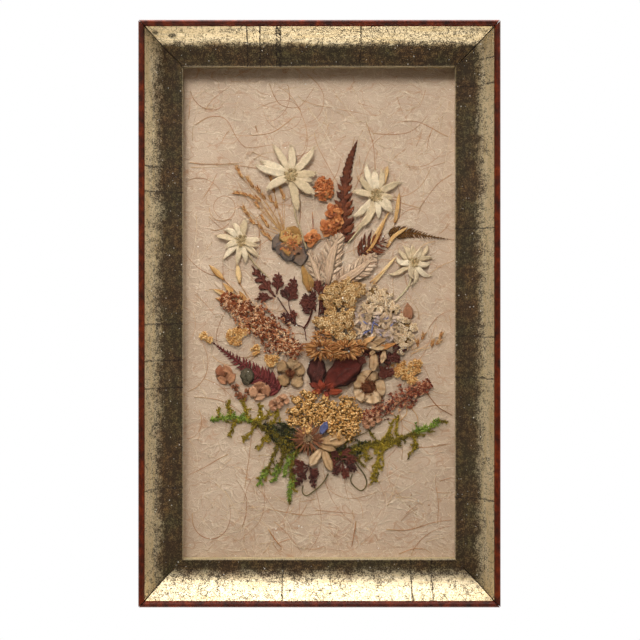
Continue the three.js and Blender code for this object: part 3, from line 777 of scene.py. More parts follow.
@dataclass
class Rail:
    """One mitred rail, drawn as the top rail and turned to its side of the frame.

    Attributes:
        name: The solid that it replaces.
        length: Its length along the outside edge.
        turn: Its side, in degrees anticlockwise from the top.
        joints: Where leaves meet, from the rail's middle.
        glaze: How far from its outside edge the brown glaze begins, and where it is full.
        pits: Dark chips in the gilding, as (place along the rail, distance from its outside edge).
        hanger: Whether the hanger is let into its back.
    """

    name: str
    length: float
    turn: float
    joints: tuple[float, ...]
    glaze: tuple[float, float] = (8.6, 11.8)
    pits: tuple[tuple[float, float], ...] = ()
    hanger: bool = False
    width: float = 20.9
    rabbet: float = 15.4
    bead: float = 3.2
    bead_side: float = 24.6
    scoop_top: float = 24.9
    lip_back: float = 12.3
    lip_front: float = 14.6
    steepness: float = 2.6
    setback: float = 0.34
    step: float = 1.15
    ding: float = 0.16

    def section(self) -> list[tuple[float, float]]:
        """Draws the section.

        Returns:
            Points of (distance from the outside edge, height), from the back round the front.
        """
        points = [(0.0, 0.0)] + [(0.0, self.bead_side * t) for t in (0.25, 0.5, 0.75, 0.92)]
        half = self.bead / 2
        top = FRAME_DEPTH - self.bead_side
        for i in range(13):
            turn = math.pi * (1 - i / 12)
            points.append((half * (1 + math.cos(turn)), self.bead_side + top * math.sin(turn)))
        for i in range(33):
            t = i / 32
            height = self.lip_front + (self.scoop_top - self.lip_front) * (1 - t) ** self.steepness
            points.append((self.bead + (self.width - self.bead) * t, height))
        points += [(self.width, self.lip_front - 0.4), (self.width, self.lip_back + 0.3),
                   (self.width, self.lip_back), (self.rabbet, self.lip_back), (self.rabbet, 6.0), (self.rabbet, 0.0)]
        return points

    def worn(self, along: float, across: float, height: float) -> tuple[float, float]:
        """Dents and softens the moulding by a little, always inwards.

        Args:
            along: The place along the rail.
            across: The distance from its outside edge.
            height: The height from the wall.

        Returns:
            The new distance and height.
        """
        if height < self.lip_back or across > self.width - 0.05:
            return across, height
        seed = self.turn + 3
        dent = max(0.0, rough(along, across, 2.2, seed)) ** 2 + 0.4 * abs(rough(along, across, 9, seed + 5))
        if across <= self.bead:
            nick = max(0.0, rough(along, 0, 1.3, seed + 9) - 0.25) * 0.9
            if across < 0.01:
                return across + self.ding * dent * 0.5, height
            return across, height - self.ding * (0.7 * dent + nick)
        return across, height - self.ding * 0.55 * dent

    def build(self, coats: Coats) -> None:
        """Builds the rail.

        Args:
            coats: Gilt, lacquer and raw wood.
        """
        section = self.section()
        size = len(section)
        steps = round(self.length / self.step)
        points = []
        marks: dict[str, list[float]] = {"across": [], "along": [], "glazing": [], "joint": []}
        for i in range(steps + 1):
            share = 2 * i / steps - 1
            for across, height in section:
                along = share * (self.length / 2 - across - self.setback)
                new_across, new_height = self.worn(along, across, height)
                points.append((along, -new_across, new_height))
                marks["across"].append(across)
                marks["along"].append(along)
                marks["glazing"].append((across - self.glaze[0]) / (self.glaze[1] - self.glaze[0]))
                reaches = [along - at for at in self.joints] + [
                    max(0.0, math.hypot((along - at) / 1.9, across - deep) - 0.55) for at, deep in self.pits]
                marks["joint"].append(min(reaches, key=abs))
        faces, kinds = [], []
        for i in range(steps):
            for j in range(size):
                k = (j + 1) % size
                a, b = i * size, (i + 1) * size
                faces.append((a + j, a + k, b + k, b + j))
                middle = (section[j][0] + section[k][0]) / 2
                front = min(section[j][1], section[k][1])
                if j == size - 1 or (j >= size - 4 and middle > self.rabbet - 1):
                    kinds.append(RAW)
                elif middle <= self.bead:
                    kinds.append(LACQUERED)
                else:
                    kinds.append(GILDED if front >= self.lip_back else RAW)
        faces += [tuple(range(size))[::-1], tuple(range(steps * size, (steps + 1) * size))]
        kinds += [LACQUERED, LACQUERED]
        mesh = bpy.data.meshes.new(self.name + "_moulding")
        mesh.from_pydata(place(self.turned(np.array(points))).tolist(), [], faces)
        for coat in coats:
            mesh.materials.append(coat)
        mesh.polygons.foreach_set("material_index", kinds)
        for mark, values in marks.items():
            layer = mesh.attributes.new(mark, "FLOAT", "POINT")
            layer.data.foreach_set("value", values)
        obj = bpy.data.objects.new(self.name + "_moulding", mesh)
        bpy.context.scene.collection.objects.link(obj)
        if self.hanger:
            self.let_in_hanger(obj)
        obj.data.polygons.foreach_set("use_smooth", [True] * len(obj.data.polygons))
        obj.data.set_sharp_from_angle(angle=math.radians(38))
        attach(obj, Rides.ROOT.value)
        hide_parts(self.name)
        LOG.info("%s: %d points", obj.name, len(obj.data.vertices))

    def turned(self, points: np.ndarray) -> np.ndarray:
        """Moves the rail from the picture's middle to its side of the frame.

        Args:
            points: Rows of (x, z, h) of a top rail whose outside edge is at z = 0.

        Returns:
            The rows for this rail.
        """
        turn = math.radians(self.turn)
        reach = FRAME_LENGTH / 2 if self.turn in (0, 180) else FRAME_WIDTH / 2
        x, z = points[:, 0], points[:, 1] + reach
        return np.column_stack((
            x * math.cos(turn) - z * math.sin(turn), x * math.sin(turn) + z * math.cos(turn), points[:, 2]))

    def let_in_hanger(self, rail: bpy.types.Object) -> None:
        """Cuts the hanger's recess and the pocket under its teeth out of the rail's back.

        Args:
            rail: The rail's piece.
        """
        _, plate_front = node_heights("hanger")
        low, high = (np.array(corner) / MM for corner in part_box("hanger"))
        play, depth, pocket = 0.6, plate_front + 0.3, (24.0, 6.4, 5.0)
        top = high[2] + play
        boxes = [((low[0] - play, low[2] - play), (high[0] + play, top), depth),
                 ((-pocket[0] / 2, low[2] - play), (pocket[0] / 2, low[2] - play + pocket[1]), pocket[2])]
        for (x0, z0), (x1, z1), deep in boxes:
            bpy.ops.mesh.primitive_cube_add(size=1)
            tool = bpy.context.active_object
            tool.scale = Vector(((x1 - x0), deep + 2, (z1 - z0))) * MM
            tool.location = Vector(((x0 + x1) / 2, (2 - deep) / 2, (z0 + z1) / 2)) * MM
            tool.data.materials.append(rail.data.materials[RAW])
            cut = rail.modifiers.new("recess", "BOOLEAN")
            cut.object = tool
            cut.solver = "EXACT"
            cut.material_mode = "TRANSFER"
            graph = bpy.context.evaluated_depsgraph_get()
            mesh = bpy.data.meshes.new_from_object(rail.evaluated_get(graph))
            rail.modifiers.clear()
            rail.data = mesh
            bpy.data.objects.remove(tool)


@dataclass
class Moulding:
    """The four rails of a scoop moulding, with the places of their leaf joints."""

    joints_top: tuple[float, ...] = (-36.5, -30.0, -21.5, -19.6, 21.0)
    joints_bottom: tuple[float, ...] = (18.7, -46.7, -57.2)
    joints_left: tuple[float, ...] = (-89.0, -38.0, -24.0, -5.5, 61.5, 74.0)
    joints_right: tuple[float, ...] = (94.0, 32.8, 11.8, -43.0, -115.5, -128.5)
    specks: int = 300

    def build(self) -> None:
        """Builds and dresses the rails."""
        coats = [GiltLeaf().build(), RED_LACQUER.build(), RAW_WOOD.build()]
        for rail in (
            Rail("rail_top", FRAME_WIDTH, 0, self.joints_top, pits=((-74.2, 6.6), (-82.5, 5.6)), hanger=True),
            Rail("rail_left", FRAME_LENGTH, 90, self.joints_left, (4.8, 12.4)),
            Rail("rail_bottom", FRAME_WIDTH, 180, self.joints_bottom, (9.8, 17.6)),
            Rail("rail_right", FRAME_LENGTH, 270, self.joints_right, (5.4, 12.0)),
        ):
            rail.build(coats)
        self.strew(rail)

    def strew(self, rail: Rail) -> None:
        """Strews pale dust over the scoop of all four rails.

        Args:
            rail: Any rail, for its section.
        """
        rng = random.Random(SEED + 2)
        draft = Draft()
        slope = np.array([point for point in rail.section() if point[0] > rail.bead and point[1] > rail.lip_front])
        for _ in range(self.specks):
            across, height = slope[rng.randrange(len(slope))]
            u, v = rng.uniform(-1, 1), 1.0
            if rng.random() < 0.62:
                u, v = rng.choice((-1, 1)), rng.uniform(-1, 1)
            elif rng.random() < 0.5:
                v = -1.0
            x, z = u * (FRAME_WIDTH / 2 - across), v * (FRAME_LENGTH / 2 - across)
            size = 0.14 + 0.26 * rng.random() ** 3
            draft.blob((x, z, height), (size, size, size * 0.7), rng.uniform(0, 180), tone=rng.random())
        draft.piece("frame_dust", [HOUSE_DUST.build()], "moulding")


# ------------------------------------------------------------------------------------------------ paper and glass
@dataclass
class PaperSheet:
    """The crumpled sheet and the long loose fibres on it.

    Attributes:
        cell: The spacing of its points.
        crease: How high a crease stands.
        strands: How many loose fibres are strewn over it.
        rusty: The share of them that is rust brown.
        stride: The spacing of a fibre's points.
        margin: How far they keep from the sheet's edge.
    """

    cell: float = 1.1
    crease: float = 0.34
    strands: int = 420
    rusty: float = 0.36
    stride: float = 1.6
    margin: float = 5.0

    def __post_init__(self) -> None:
        """Reads where the sheet lies."""
        self.back, self.front = node_heights("paper_sheet")
        low, high = (np.array(corner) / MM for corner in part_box("paper_sheet"))
        self.half_width = (high[0] - low[0]) / 2 - 0.05
        self.half_length = (high[2] - low[2]) / 2 - 0.05

    def height(self, x: float, z: float) -> float:
        """Gives the sheet's surface at a point of the picture.

        Args:
            x: The point's place to the right of the middle.
            z: Its place above the middle.

        Returns:
            The height from the wall.
        """
        bend = rough(x, z, 17, 2.0) * 5
        crumple = 1 - 2.6 * abs(rough(x + bend, z - bend, 12, 5.0))
        small = 1 - 2.4 * abs(rough(x - bend, z + bend, 5.5, 8.0))
        lift = 0.55 * max(crumple, -0.2) + 0.3 * max(small, -0.2) + 0.35 * rough(x, z, 30, 11.0)
        return self.front + self.crease * (lift - 0.45)

    def build(self) -> None:
        """Builds the sheet and its fibres."""
        columns = round(2 * self.half_width / self.cell)
        rows = round(2 * self.half_length / self.cell)
        xs = np.linspace(-self.half_width, self.half_width, columns + 1)
        zs = np.linspace(-self.half_length, self.half_length, rows + 1)
        tops = [(x, z, min(self.height(x, z), self.front + 0.28)) for z in zs for x in xs]
        count = len(tops)
        draft = Draft()
        points = np.array(tops + [(x, z, self.back) for x, z, _ in tops])
        faces = []
        wide = columns + 1
        for row in range(rows):
            for column in range(columns):
                a = row * wide + column
                faces.append((a, a + 1, a + wide + 1, a + wide))
        rim = (list(range(wide)) + [r * wide + columns for r in range(1, rows + 1)]
               + [rows * wide + c for c in range(columns - 1, -1, -1)] + [r * wide for r in range(rows - 1, 0, -1)])
        for a, b in zip(rim, rim[1:] + rim[:1]):
            faces.append((a, a + count, b + count, b))
        faces.append(tuple(i + count for i in rim[::-1]))
        draft.add(points, faces)
        used = np.zeros(len(points), bool)
        used[[i for face in faces for i in face]] = True
        keep = np.cumsum(used) - 1
        draft.points = [points[used]]
        draft.faces = [tuple(int(keep[i]) for i in face) for face in faces]
        draft.marks = {mark: [np.zeros(int(used.sum()))] for mark in draft.marks}
        draft.piece("crumpled_paper", [FibrePaper().build()], "fibre_paper", ("paper_sheet",))
        self.strew()

    # Fibres that stand out, as points of the picture, with their half widths and tones.
    MARKED = (
        (((-64, 97.5), (-56, 101.7), (-48, 100), (-42.4, 90.3), (-36.7, 85.6), (-23.7, 87.2)), 0.24, 0.85),
        (((-45.5, 120), (-32, 119.2), (-19.5, 117.8)), 0.13, 0.3),
        (((-25.7, 118.9), (-23, 112), (-19, 107.4), (-10, 107), (-2.3, 116.9)), 0.2, 0.9),
        (((-66.3, 75.2), (-54, 75.6), (-40.3, 77.8)), 0.26, 0.35),
        (((-1.8, -102.6), (8, -103.4), (20, -104.7)), 0.18, 0.9),
        (((19.2, -108.3), (18.4, -114), (17.0, -121.6)), 0.4, 0.8),
        (((-26.3, -112.5), (-23, -117.5), (-19.5, -121.8)), 0.4, 0.8),
        (((-39, -99.0), (-37.4, -92), (-35.0, -86)), 0.16, 0.95), (((-33, 97), (-32, 93.5)), 0.34, 0.85),
        (((-67, 78), (-62, 77.2), (-50, 77.0), (-39.5, 77.9)), 0.3, 0.6),
        (((59.5, 97), (57, 90), (56, 84)), 0.2, 0.85), (((69, 72), (61, 66), (52, 54)), 0.22, 0.75),
        (((40.5, 112), (43.6, 103)), 0.16, 0.8), (((47.6, -94.6), (48.4, -94.8)), 0.36, 1.0),
        (((46.8, -100.2), (47.5, -100.6)), 0.42, 1.0), (((56.8, -99.8), (57.4, -100.2)), 0.38, 1.0),
    )

    def strew(self) -> None:
        """Lays the loose fibres, pale ones mostly, in swirls."""
        rng = random.Random(SEED)
        draft = Draft()
        inner_x, inner_z = self.half_width - self.margin, self.half_length - self.margin
        for number in range(self.strands):
            x, z = rng.uniform(-inner_x, inner_x), rng.uniform(-inner_z, inner_z)
            heading = rng.gauss(rough(x, z, 60, 20.0) * 5, 0.9)
            bend = rng.gauss(0, 0.035)
            reach = rng.choice((9, 14, 22, 34, 48)) * rng.uniform(0.7, 1.3)
            path = []
            for _ in range(max(6, int(reach / self.stride))):
                path.append((x, z))
                bend += rng.gauss(0, 0.014)
                heading += bend * self.stride
                x += self.stride * math.cos(heading)
                z += self.stride * math.sin(heading)
                if abs(x) > inner_x or abs(z) > inner_z:
                    break
            if len(path) > 4:
                rust = rng.random() < self.rusty
                self.lay(draft, np.array(path), rng.uniform(0.09, 0.2) + 0.03 * rust,
                         rng.uniform(0.6, 1.0) if rust else rng.uniform(0, 0.4), number)
        for number, (path, radius, tone) in enumerate(self.MARKED):
            self.lay(draft, smooth_curve(list(path), 26), radius, tone, number)
        draft.piece("loose_fibres", [BAST.build()], "fibre_paper")

    def lay(self, draft: Draft, path: np.ndarray, radius: float, tone: float, number: int) -> None:
        """Lays one fibre on the sheet.

        Args:
            draft: The draft of all fibres.
            path: Rows of (x, z).
            radius: Its radius at the start.
            tone: Its tone.
            number: Its number, which sets how it waves.
        """
        heights = [self.height(x, z) + radius * 0.3 + 0.05 * math.sin(number + 0.7 * i)
                   for i, (x, z) in enumerate(path)]
        heights = np.minimum(heights, self.front + 0.36)
        draft.tube(np.column_stack((path, heights)), radius, radius * 0.45, sides=3, tone=tone)


@dataclass
class Glazing:
    """The pane with dust on it, and what else stays from the solid model: board, spacers and steel fittings.

    Attributes:
        specks: How many specks of dust lie on the pane.
        margin: How far they keep from the frame's outside edge.
    """

    specks: int = 170
    margin: float = 22.0

    def build(self) -> None:
        """Dresses the carried-over solids and strews the dust."""
        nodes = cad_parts
        pane = nodes["glass_pane"]
        pane.visible_shadow = False
        self.dress(pane, PictureGlass().build())
        self.dress(nodes["backing_board"], PASTEBOARD.build())
        mount = MOUNT_BOARD.build()
        steel = ZINC_STEEL.build()
        for name, node in nodes.items():
            if name.startswith("spacer_"):
                self.dress(node, mount)
            if name.startswith(("point_", "nail_", "hanger")):
                self.dress(node, steel)
        self.strew()

    @staticmethod
    def dress(node: bpy.types.Object, material: bpy.types.Material) -> None:
        """Gives a carried-over solid its finish."""
        for material_slot in node.material_slots:
            material_slot.material = material

    def strew(self) -> None:
        """Strews fine dust and lint over the glass."""
        rng = random.Random(SEED + 1)
        _, front = node_heights("glass_pane")
        half_width, half_length = FRAME_WIDTH / 2 - self.margin, FRAME_LENGTH / 2 - self.margin
        draft = Draft()
        for _ in range(self.specks):
            size = 0.13 + 0.32 * rng.random() ** 3
            centre = (rng.uniform(-half_width, half_width), rng.uniform(-half_length, half_length), front + 0.04)
            draft.blob(centre, (size * rng.uniform(1, 1.8), size, 0.03), rng.uniform(0, 180), tone=rng.random())
        draft.piece("glass_dust", [HOUSE_DUST.build()], "glass")


# ------------------------------------------------------------------------------------------------ dried finishes
@dataclass(frozen=True)
class DriedFinish:
    """A dried plant surface, coloured by element, with darker bases, mottling and a matt, finely wrinkled skin.

    Attributes:
        name: What it is.
        tones: The elements' sRGB colours, from tone 0 to tone 1.
        base: The colour where an element starts.
        base_share: How much of the element that colour fades over.
        tip: The colour of its far end, if that differs.
        tip_share: How much of the element the tip's colour takes.
        vein: The midrib's colour, if it shows.
        rim: The edge's colour, if it differs.
        mottle: How strongly patches darken it.
        patch: The patches' size in millimetres.
        roughness: Its surface roughness.
        sheen: The weight of its down.
        relief: The height of its wrinkles in millimetres.
        wrinkle: The wrinkles' spacing in millimetres.
    """

    name: str
    tones: tuple[str, ...]
    base: str
    base_share: float = 0.3
    tip: str = ""
    tip_share: float = 0.25
    vein: str = ""
    rim: str = ""
    mottle: float = 0.35
    patch: float = 1.6
    roughness: float = 0.78
    sheen: float = 0.0
    relief: float = 0.08
    wrinkle: float = 0.7

    def build(self) -> bpy.types.Material:
        """Builds the material from the tone, run and side marks.

        Returns:
            The material.
        """
        material = bpy.data.materials.new(self.name)
        add = new_tree(material)
        tone, run, side = (add("Attribute", out="Fac", attribute_name=mark) for mark in ("tone", "run", "side"))
        spot = add("TexCoord", out="Object")
        last = max(len(self.tones) - 1, 1)
        colour = add("ValToRGB", {"Fac": tone}, stops=[(i / last, tint) for i, tint in enumerate(self.tones)])
        # Each band tints the colour where its mark runs from the first value to the second.
        for mark, start, full, weight, tint in (
                (run, self.base_share, 0.0, 1.0, self.base), (run, 1 - self.tip_share, 1.0, 1.0, self.tip),
                (side, 0.3, 0.05, 0.75, self.vein), (side, 0.6, 1.0, 0.8, self.rim)):
            if tint:
                share = add("MapRange", {"Value": mark, "From Min": start, "From Max": full, "To Max": weight})
                colour = add("Mix", {MIX_FACTOR: share, MIX_A: colour, MIX_B: linear(tint)}, MIX_OUT,
                             data_type="RGBA")
        patches, wrinkles = (add("TexNoise", {"Vector": spot, "Scale": per_metre(size), "Detail": 4.0})
                             for size in (self.patch, self.wrinkle))
        shade = add("MapRange", {
            "Value": patches, "From Min": 0.3, "From Max": 0.7, "To Min": 1 - self.mottle, "To Max": 1.1})
        colour = add("Mix", {MIX_FACTOR: 1.0, MIX_A: colour, MIX_B: shade}, MIX_OUT, data_type="RGBA",
                     blend_type="MULTIPLY")
        bump = add("Bump", {"Height": wrinkles, "Strength": 0.8, "Distance": self.relief * MM})
        surface = add("BsdfPrincipled", {
            "Base Color": colour, "Roughness": self.roughness, "Specular IOR Level": 0.3,
            "Sheen Weight": self.sheen, "Sheen Roughness": 0.5, "Normal": bump})
        add("OutputMaterial", {"Surface": surface})
        return material


# House dust and lint, settled: pale grey points that soften the dark places.
HOUSE_DUST = DriedFinish("house_dust", ("#cfc9bd", "#f4f1ea"), "#e9e5dc", roughness=0.9, mottle=0.05)
# Bast fibre, boiled and beaten: silky pale threads with rusty ones among them.
BAST = DriedFinish("bast_fibre", ("#e8d3b9", "#dabf9f", "#b97d47", "#9c5a26"), "#c29a6e", roughness=0.6, mottle=0.15)
# Edelweiss bracts, air-dried: cream felt that scatters light softly, tan at the tips.
WOOL = DriedFinish("edelweiss_wool", ("#c9b08e", "#d8bf9f", "#e5d0b4"), "#c1a782", 0.2, tip="#c3a175", tip_share=0.08,
                   mottle=0.18, patch=1.6, roughness=0.9, sheen=0.14, relief=0.24, wrinkle=0.6)
# Edelweiss disc florets, dried: knobbly grey-cream buttons with brown between them.
BUTTON = DriedFinish("edelweiss_buttons", ("#9a8057", "#c3ab80", "#dfcea8"), "#8a7048", 0.4, mottle=0.35,
                     patch=0.7, roughness=0.9, relief=0.15, wrinkle=0.35)
# Edelweiss stem, downy and dried: a dull pale line.
PALE_STEM = DriedFinish("downy_stem", ("#b49b77", "#cbb590", "#d8c4a0"), "#a68d66", roughness=0.88)
# Everlasting bracts, papery and dry: rust orange with a faint gloss and dark hollows.
RUST_PAPER = DriedFinish("everlasting_bracts", ("#843f1b", "#aa5829", "#c6723b", "#d99359"), "#61280d", 0.35,
                         tip="#d99860", mottle=0.3, patch=1.2, roughness=0.62, relief=0.08)
# Straw, sun-bleached: warm tan with a soft gloss.
STRAW = DriedFinish("dry_straw", ("#ab763f", "#c79457", "#d8aa70", "#e2be8c"), "#a26c38", 0.2,
                    mottle=0.22, patch=1.4, roughness=0.65, relief=0.06)
# Grass spikelets, dried: small orange-tan grains.
RUSTY_SEED = DriedFinish("grass_spikelets", ("#a5693a", "#c58a52", "#d8aa76"), "#a66f3f", 0.2, roughness=0.7)
# Red-brown fern, pressed: dark serrated pinnae with lighter midribs.
BROWN_FERN = DriedFinish("red_brown_fern", ("#4d200c", "#602a12", "#723516", "#82401e"), "#481d0b", 0.2, mottle=0.4,
                         patch=1.3, roughness=0.7, relief=0.1, wrinkle=0.4)
# Olive fern, pressed: golden olive with dark gaps.
OLIVE_FERN = DriedFinish("olive_fern", ("#4a2b07", "#633b0d", "#7b4c14"), "#422404", 0.25, vein="#85561f",
                         roughness=0.75)
# Silvery leaf, downy and dried: a matt pinkish grey beige with darker veins.
SILVER = DriedFinish("silver_down", ("#b08c72", "#c3a387", "#d6b89f"), "#795943", 0.22, mottle=0.2, patch=1.4,
                     roughness=0.92, sheen=0.08, relief=0.08)
# Cut maroon leaf, pressed: nearly black red with a dull skin.
MAROON = DriedFinish("maroon_leaf", ("#2e0b08", "#40140d", "#511d12", "#5e2718"), "#300d08", 0.12, vein="#683122",
                     mottle=0.32, patch=1.4, roughness=0.72, relief=0.1, wrinkle=0.5)
# Plum petal, pressed: a dark purple-brown velvet.
PLUM = DriedFinish("plum_petal", ("#441a1b", "#53251f", "#622c23"), "#36130f", 0.3, rim="#371612", mottle=0.5,
                   patch=2.4, roughness=0.75, relief=0.16, wrinkle=0.9)
# Dark red petal, pressed: wine red going brown at its edges.
RED_PETAL = DriedFinish("dark_red_petal", ("#50180f", "#631f13", "#762a19"), "#7a2b16", 0.25, vein="#4c160e",
                        rim="#44190f", mottle=0.45, patch=2.2, roughness=0.72, relief=0.14, wrinkle=0.9)
# Small bracts, pressed: brick red over the petals' foot.
BRICK = DriedFinish("brick_bracts", ("#641f0f", "#862f16", "#9c411f"), "#481406", 0.35, roughness=0.7)
# Crimson fern, pressed: a fine dull red comb.
CRIMSON = DriedFinish("crimson_fern", ("#4d1416", "#611d1d", "#732824"), "#430f10", 0.25, vein="#843733",
                      mottle=0.28, roughness=0.75)
# Heather, dried: red-brown bells flecked with pinkish cream.
HEATHER = DriedFinish("heather_florets", ("#602712", "#843e1c", "#ad643c", "#d59c71", "#eec9a1"), "#673019", 0.25,
                      mottle=0.3, patch=0.8, roughness=0.82)
# Red panicle, dried: darker bells with fewer pale flecks.
RED_HEATHER = DriedFinish("red_panicle_florets", ("#572217", "#7f3624", "#a3573a", "#c68660", "#e2b087"), "#622b1c",
                          0.25, mottle=0.3, patch=0.8, roughness=0.82)
# Terracotta petals, crumpled: brick brown with dark throats.
TERRACOTTA = DriedFinish("terracotta_petal", ("#894e34", "#a56646", "#b9815d"), "#663421", 0.35, rim="#ac7653",
                         mottle=0.4, patch=1.3, roughness=0.8, relief=0.2, wrinkle=0.6)
# Paler terracotta petals, thin and faded: pinkish tan that lets the paper's light through.
PALE_TERRACOTTA = DriedFinish("pale_terracotta_petal", ("#a36d4e", "#bc8461", "#cc9a77"), "#855237", 0.3,
                              rim="#c29170", mottle=0.35, patch=1.3, roughness=0.8, relief=0.1, wrinkle=0.6)
# Dried stalks of the panicles: wiry and red brown.
RED_STALK = DriedFinish("panicle_stalks", ("#6a3a1c", "#8a5228", "#a56c3a"), "#5f3418", roughness=0.75)
# Cream yarrow, dried: small golden-cream florets with brown between them.
CREAM_YARROW = DriedFinish("cream_yarrow", ("#8b5f2f", "#b68750", "#d8b07a", "#ebcfa5"), "#7c5428", 0.3,
                           mottle=0.24, patch=0.7, roughness=0.85)
# Single yarrow florets, dried: golden orange where they lie loose.
ORANGE_YARROW = DriedFinish("orange_yarrow", ("#97602a", "#c4894a", "#e2b273", "#f2d29c"), "#87551f", 0.3,
                            mottle=0.22, patch=0.7, roughness=0.85)
# Mauve yarrow, dried: beige florets with a breath of mauve.
MAUVE_YARROW = DriedFinish("mauve_yarrow", ("#bf9a74", "#dcbb93", "#ebcfab", "#efdac0"), "#a98662", 0.3,
                           tip="#ddc5b4", mottle=0.2, patch=0.8, roughness=0.85)
# Golden yarrow, dried: crowded yellow-cream beads with dark gaps.
GOLD_YARROW = DriedFinish("golden_yarrow", ("#8b5a2a", "#c08843", "#eab571", "#fcd69e"), "#704a25", 0.2, mottle=0.22,
                          patch=0.6, roughness=0.82)
# Stalks inside the flower heads, dried: thin dark brown lines.
DARK_STALK = DriedFinish("umbel_stalks", ("#4c3519", "#6c4c28", "#8d693c"), "#46301a", roughness=0.8)
# Ray florets of chrysanthemum, dried: fluffy golden brown.
TAN_FLOSS = DriedFinish("tan_ray_florets", ("#844a25", "#a86a35", "#c1844b", "#d5a169"), "#61351e", 0.35,
                        mottle=0.2, roughness=0.75)
# Lilac petals, limp and faded: beige and grey mauve.
LILAC = DriedFinish("lilac_petal", ("#b39270", "#c9a887", "#d0b39c", "#a99494"), "#a98a69", 0.3, mottle=0.25,
                    patch=1.4, roughness=0.8)
# Blue petals, faded: dull violet blue.
BLUE = DriedFinish("blue_petal", ("#595c85", "#70739a", "#8789aa"), "#66668a", 0.2, mottle=0.22, roughness=0.78)
# Slate pansy petals, faded: grey-blue blotched with brown.
SLATE = DriedFinish("slate_pansy_petal", ("#5e5149", "#6a5950", "#776354"), "#85542e", 0.78, rim="#54545a",
                    mottle=0.32, patch=1.6, roughness=0.9, relief=0.05)
# Amber petals, faded: translucent orange brown.
AMBER = DriedFinish("amber_petal", ("#9f7038", "#bb8c4d", "#cfa468"), "#8a5526", 0.35, rim="#c19c68", mottle=0.32,
                    roughness=0.72, relief=0.14)
# Khaki petals, crumpled: greenish cream with brown throats.
KHAKI = DriedFinish("khaki_petal", ("#9c7750", "#b59068", "#cba981"), "#4b2c16", 0.45, rim="#956d4c", mottle=0.35,
                    patch=1.6, roughness=0.75, relief=0.2)
# Cream petals, pressed: thin cream skins with brown outlines.
CREAM_PETAL = DriedFinish("cream_petal", ("#be966b", "#cca67f", "#d8b692"), "#93663c", 0.22, rim="#a2764b",
                          vein="#ab7e52", mottle=0.3, patch=1.7, roughness=0.72, relief=0.16, wrinkle=0.55)
# Flower eye, dried: a dark brown tuft.
DARK_EYE = DriedFinish("brown_eye", ("#532812", "#733b1e", "#986037"), "#401e0e", roughness=0.85)
# Brown daisy, dried: thin light-brown rays.
DAISY = DriedFinish("brown_daisy", ("#6b3c24", "#8a5435", "#a6714d"), "#552e19", 0.35, mottle=0.25, roughness=0.78)
# Feather moss, dried: soft olive with brown stems.
MOSS = DriedFinish("feather_moss", ("#4d3d09", "#665512", "#806d1b", "#988028"), "#48350c", 0.3, mottle=0.25,
                   patch=1.0, roughness=0.88)
# Moss tips, still green: a muted leaf green.
FRESH_MOSS = DriedFinish("green_moss_tips", ("#516a1e", "#6c862b", "#93a73f", "#abb552"), "#686c21", 0.3, mottle=0.25,
                         roughness=0.88)
# Old moss, faded: yellow olive threads.
FADED_MOSS = DriedFinish("faded_moss", ("#856d16", "#a68a24", "#bea132"), "#725914", 0.25, roughness=0.88)
# Moss in the shade of the heads, darkened as painted shade: a deep green brown that holds the bouquet together.
SHADE_MOSS = DriedFinish("shaded_moss", ("#2b2713", "#3a3a1b", "#4c4f26"), "#2a2312", 0.3, mottle=0.4,
                         patch=1.2, roughness=0.9)
# Tendrils, dried: thin dark curls.
SEAWEED = DriedFinish("dark_tendril", ("#544726", "#6f5f36", "#8a7a4a"), "#544726", roughness=0.8)
# Single grey leaf, pressed: a dull olive grey.
GREY_LEAF = DriedFinish("grey_olive_leaf", ("#4f4636", "#645843"), "#4a3d2c", rim="#4a3f2e", mottle=0.45,
                        roughness=0.85, relief=0.16)


# ------------------------------------------------------------------------------------------------ the bouquet
def bed(node: str) -> float:
    """Gives the height on which a specimen lies: the back of the solid that stands for it."""
    return node_heights(node)[0]


def bearing(start: Spot, end: Spot) -> float:
    """Gives the direction from one point of the picture to another, in degrees."""
    return math.degrees(math.atan2(end[1] - start[1], end[0] - start[0]))


@dataclass
class Specimen:
    """One pressed specimen, drawn as one piece on the bed of the solid that it replaces.

    Attributes:
        name: That solid's name.
        part: What the piece's name adds to it.
        slot: The slot that its finish belongs to.
    """

    name: str
    part = "head"
    slot = "golden_floret"

    def build(self, coats: Coats) -> None:
        """Builds the specimen as one piece.

        Args:
            coats: Its finishes.
        """
        draft = Draft(random.Random(self.name))
        self.draw(draft, bed(self.name))
        draft.piece(f"{self.name}_{self.part}", coats, self.slot, (self.name,))

    def draw(self, draft: Draft, floor: float) -> None:
        """Adds the specimen's shapes to a draft.

        Args:
            draft: The draft, with the random numbers for this specimen.
            floor: The height of its bed.
        """
        raise NotImplementedError


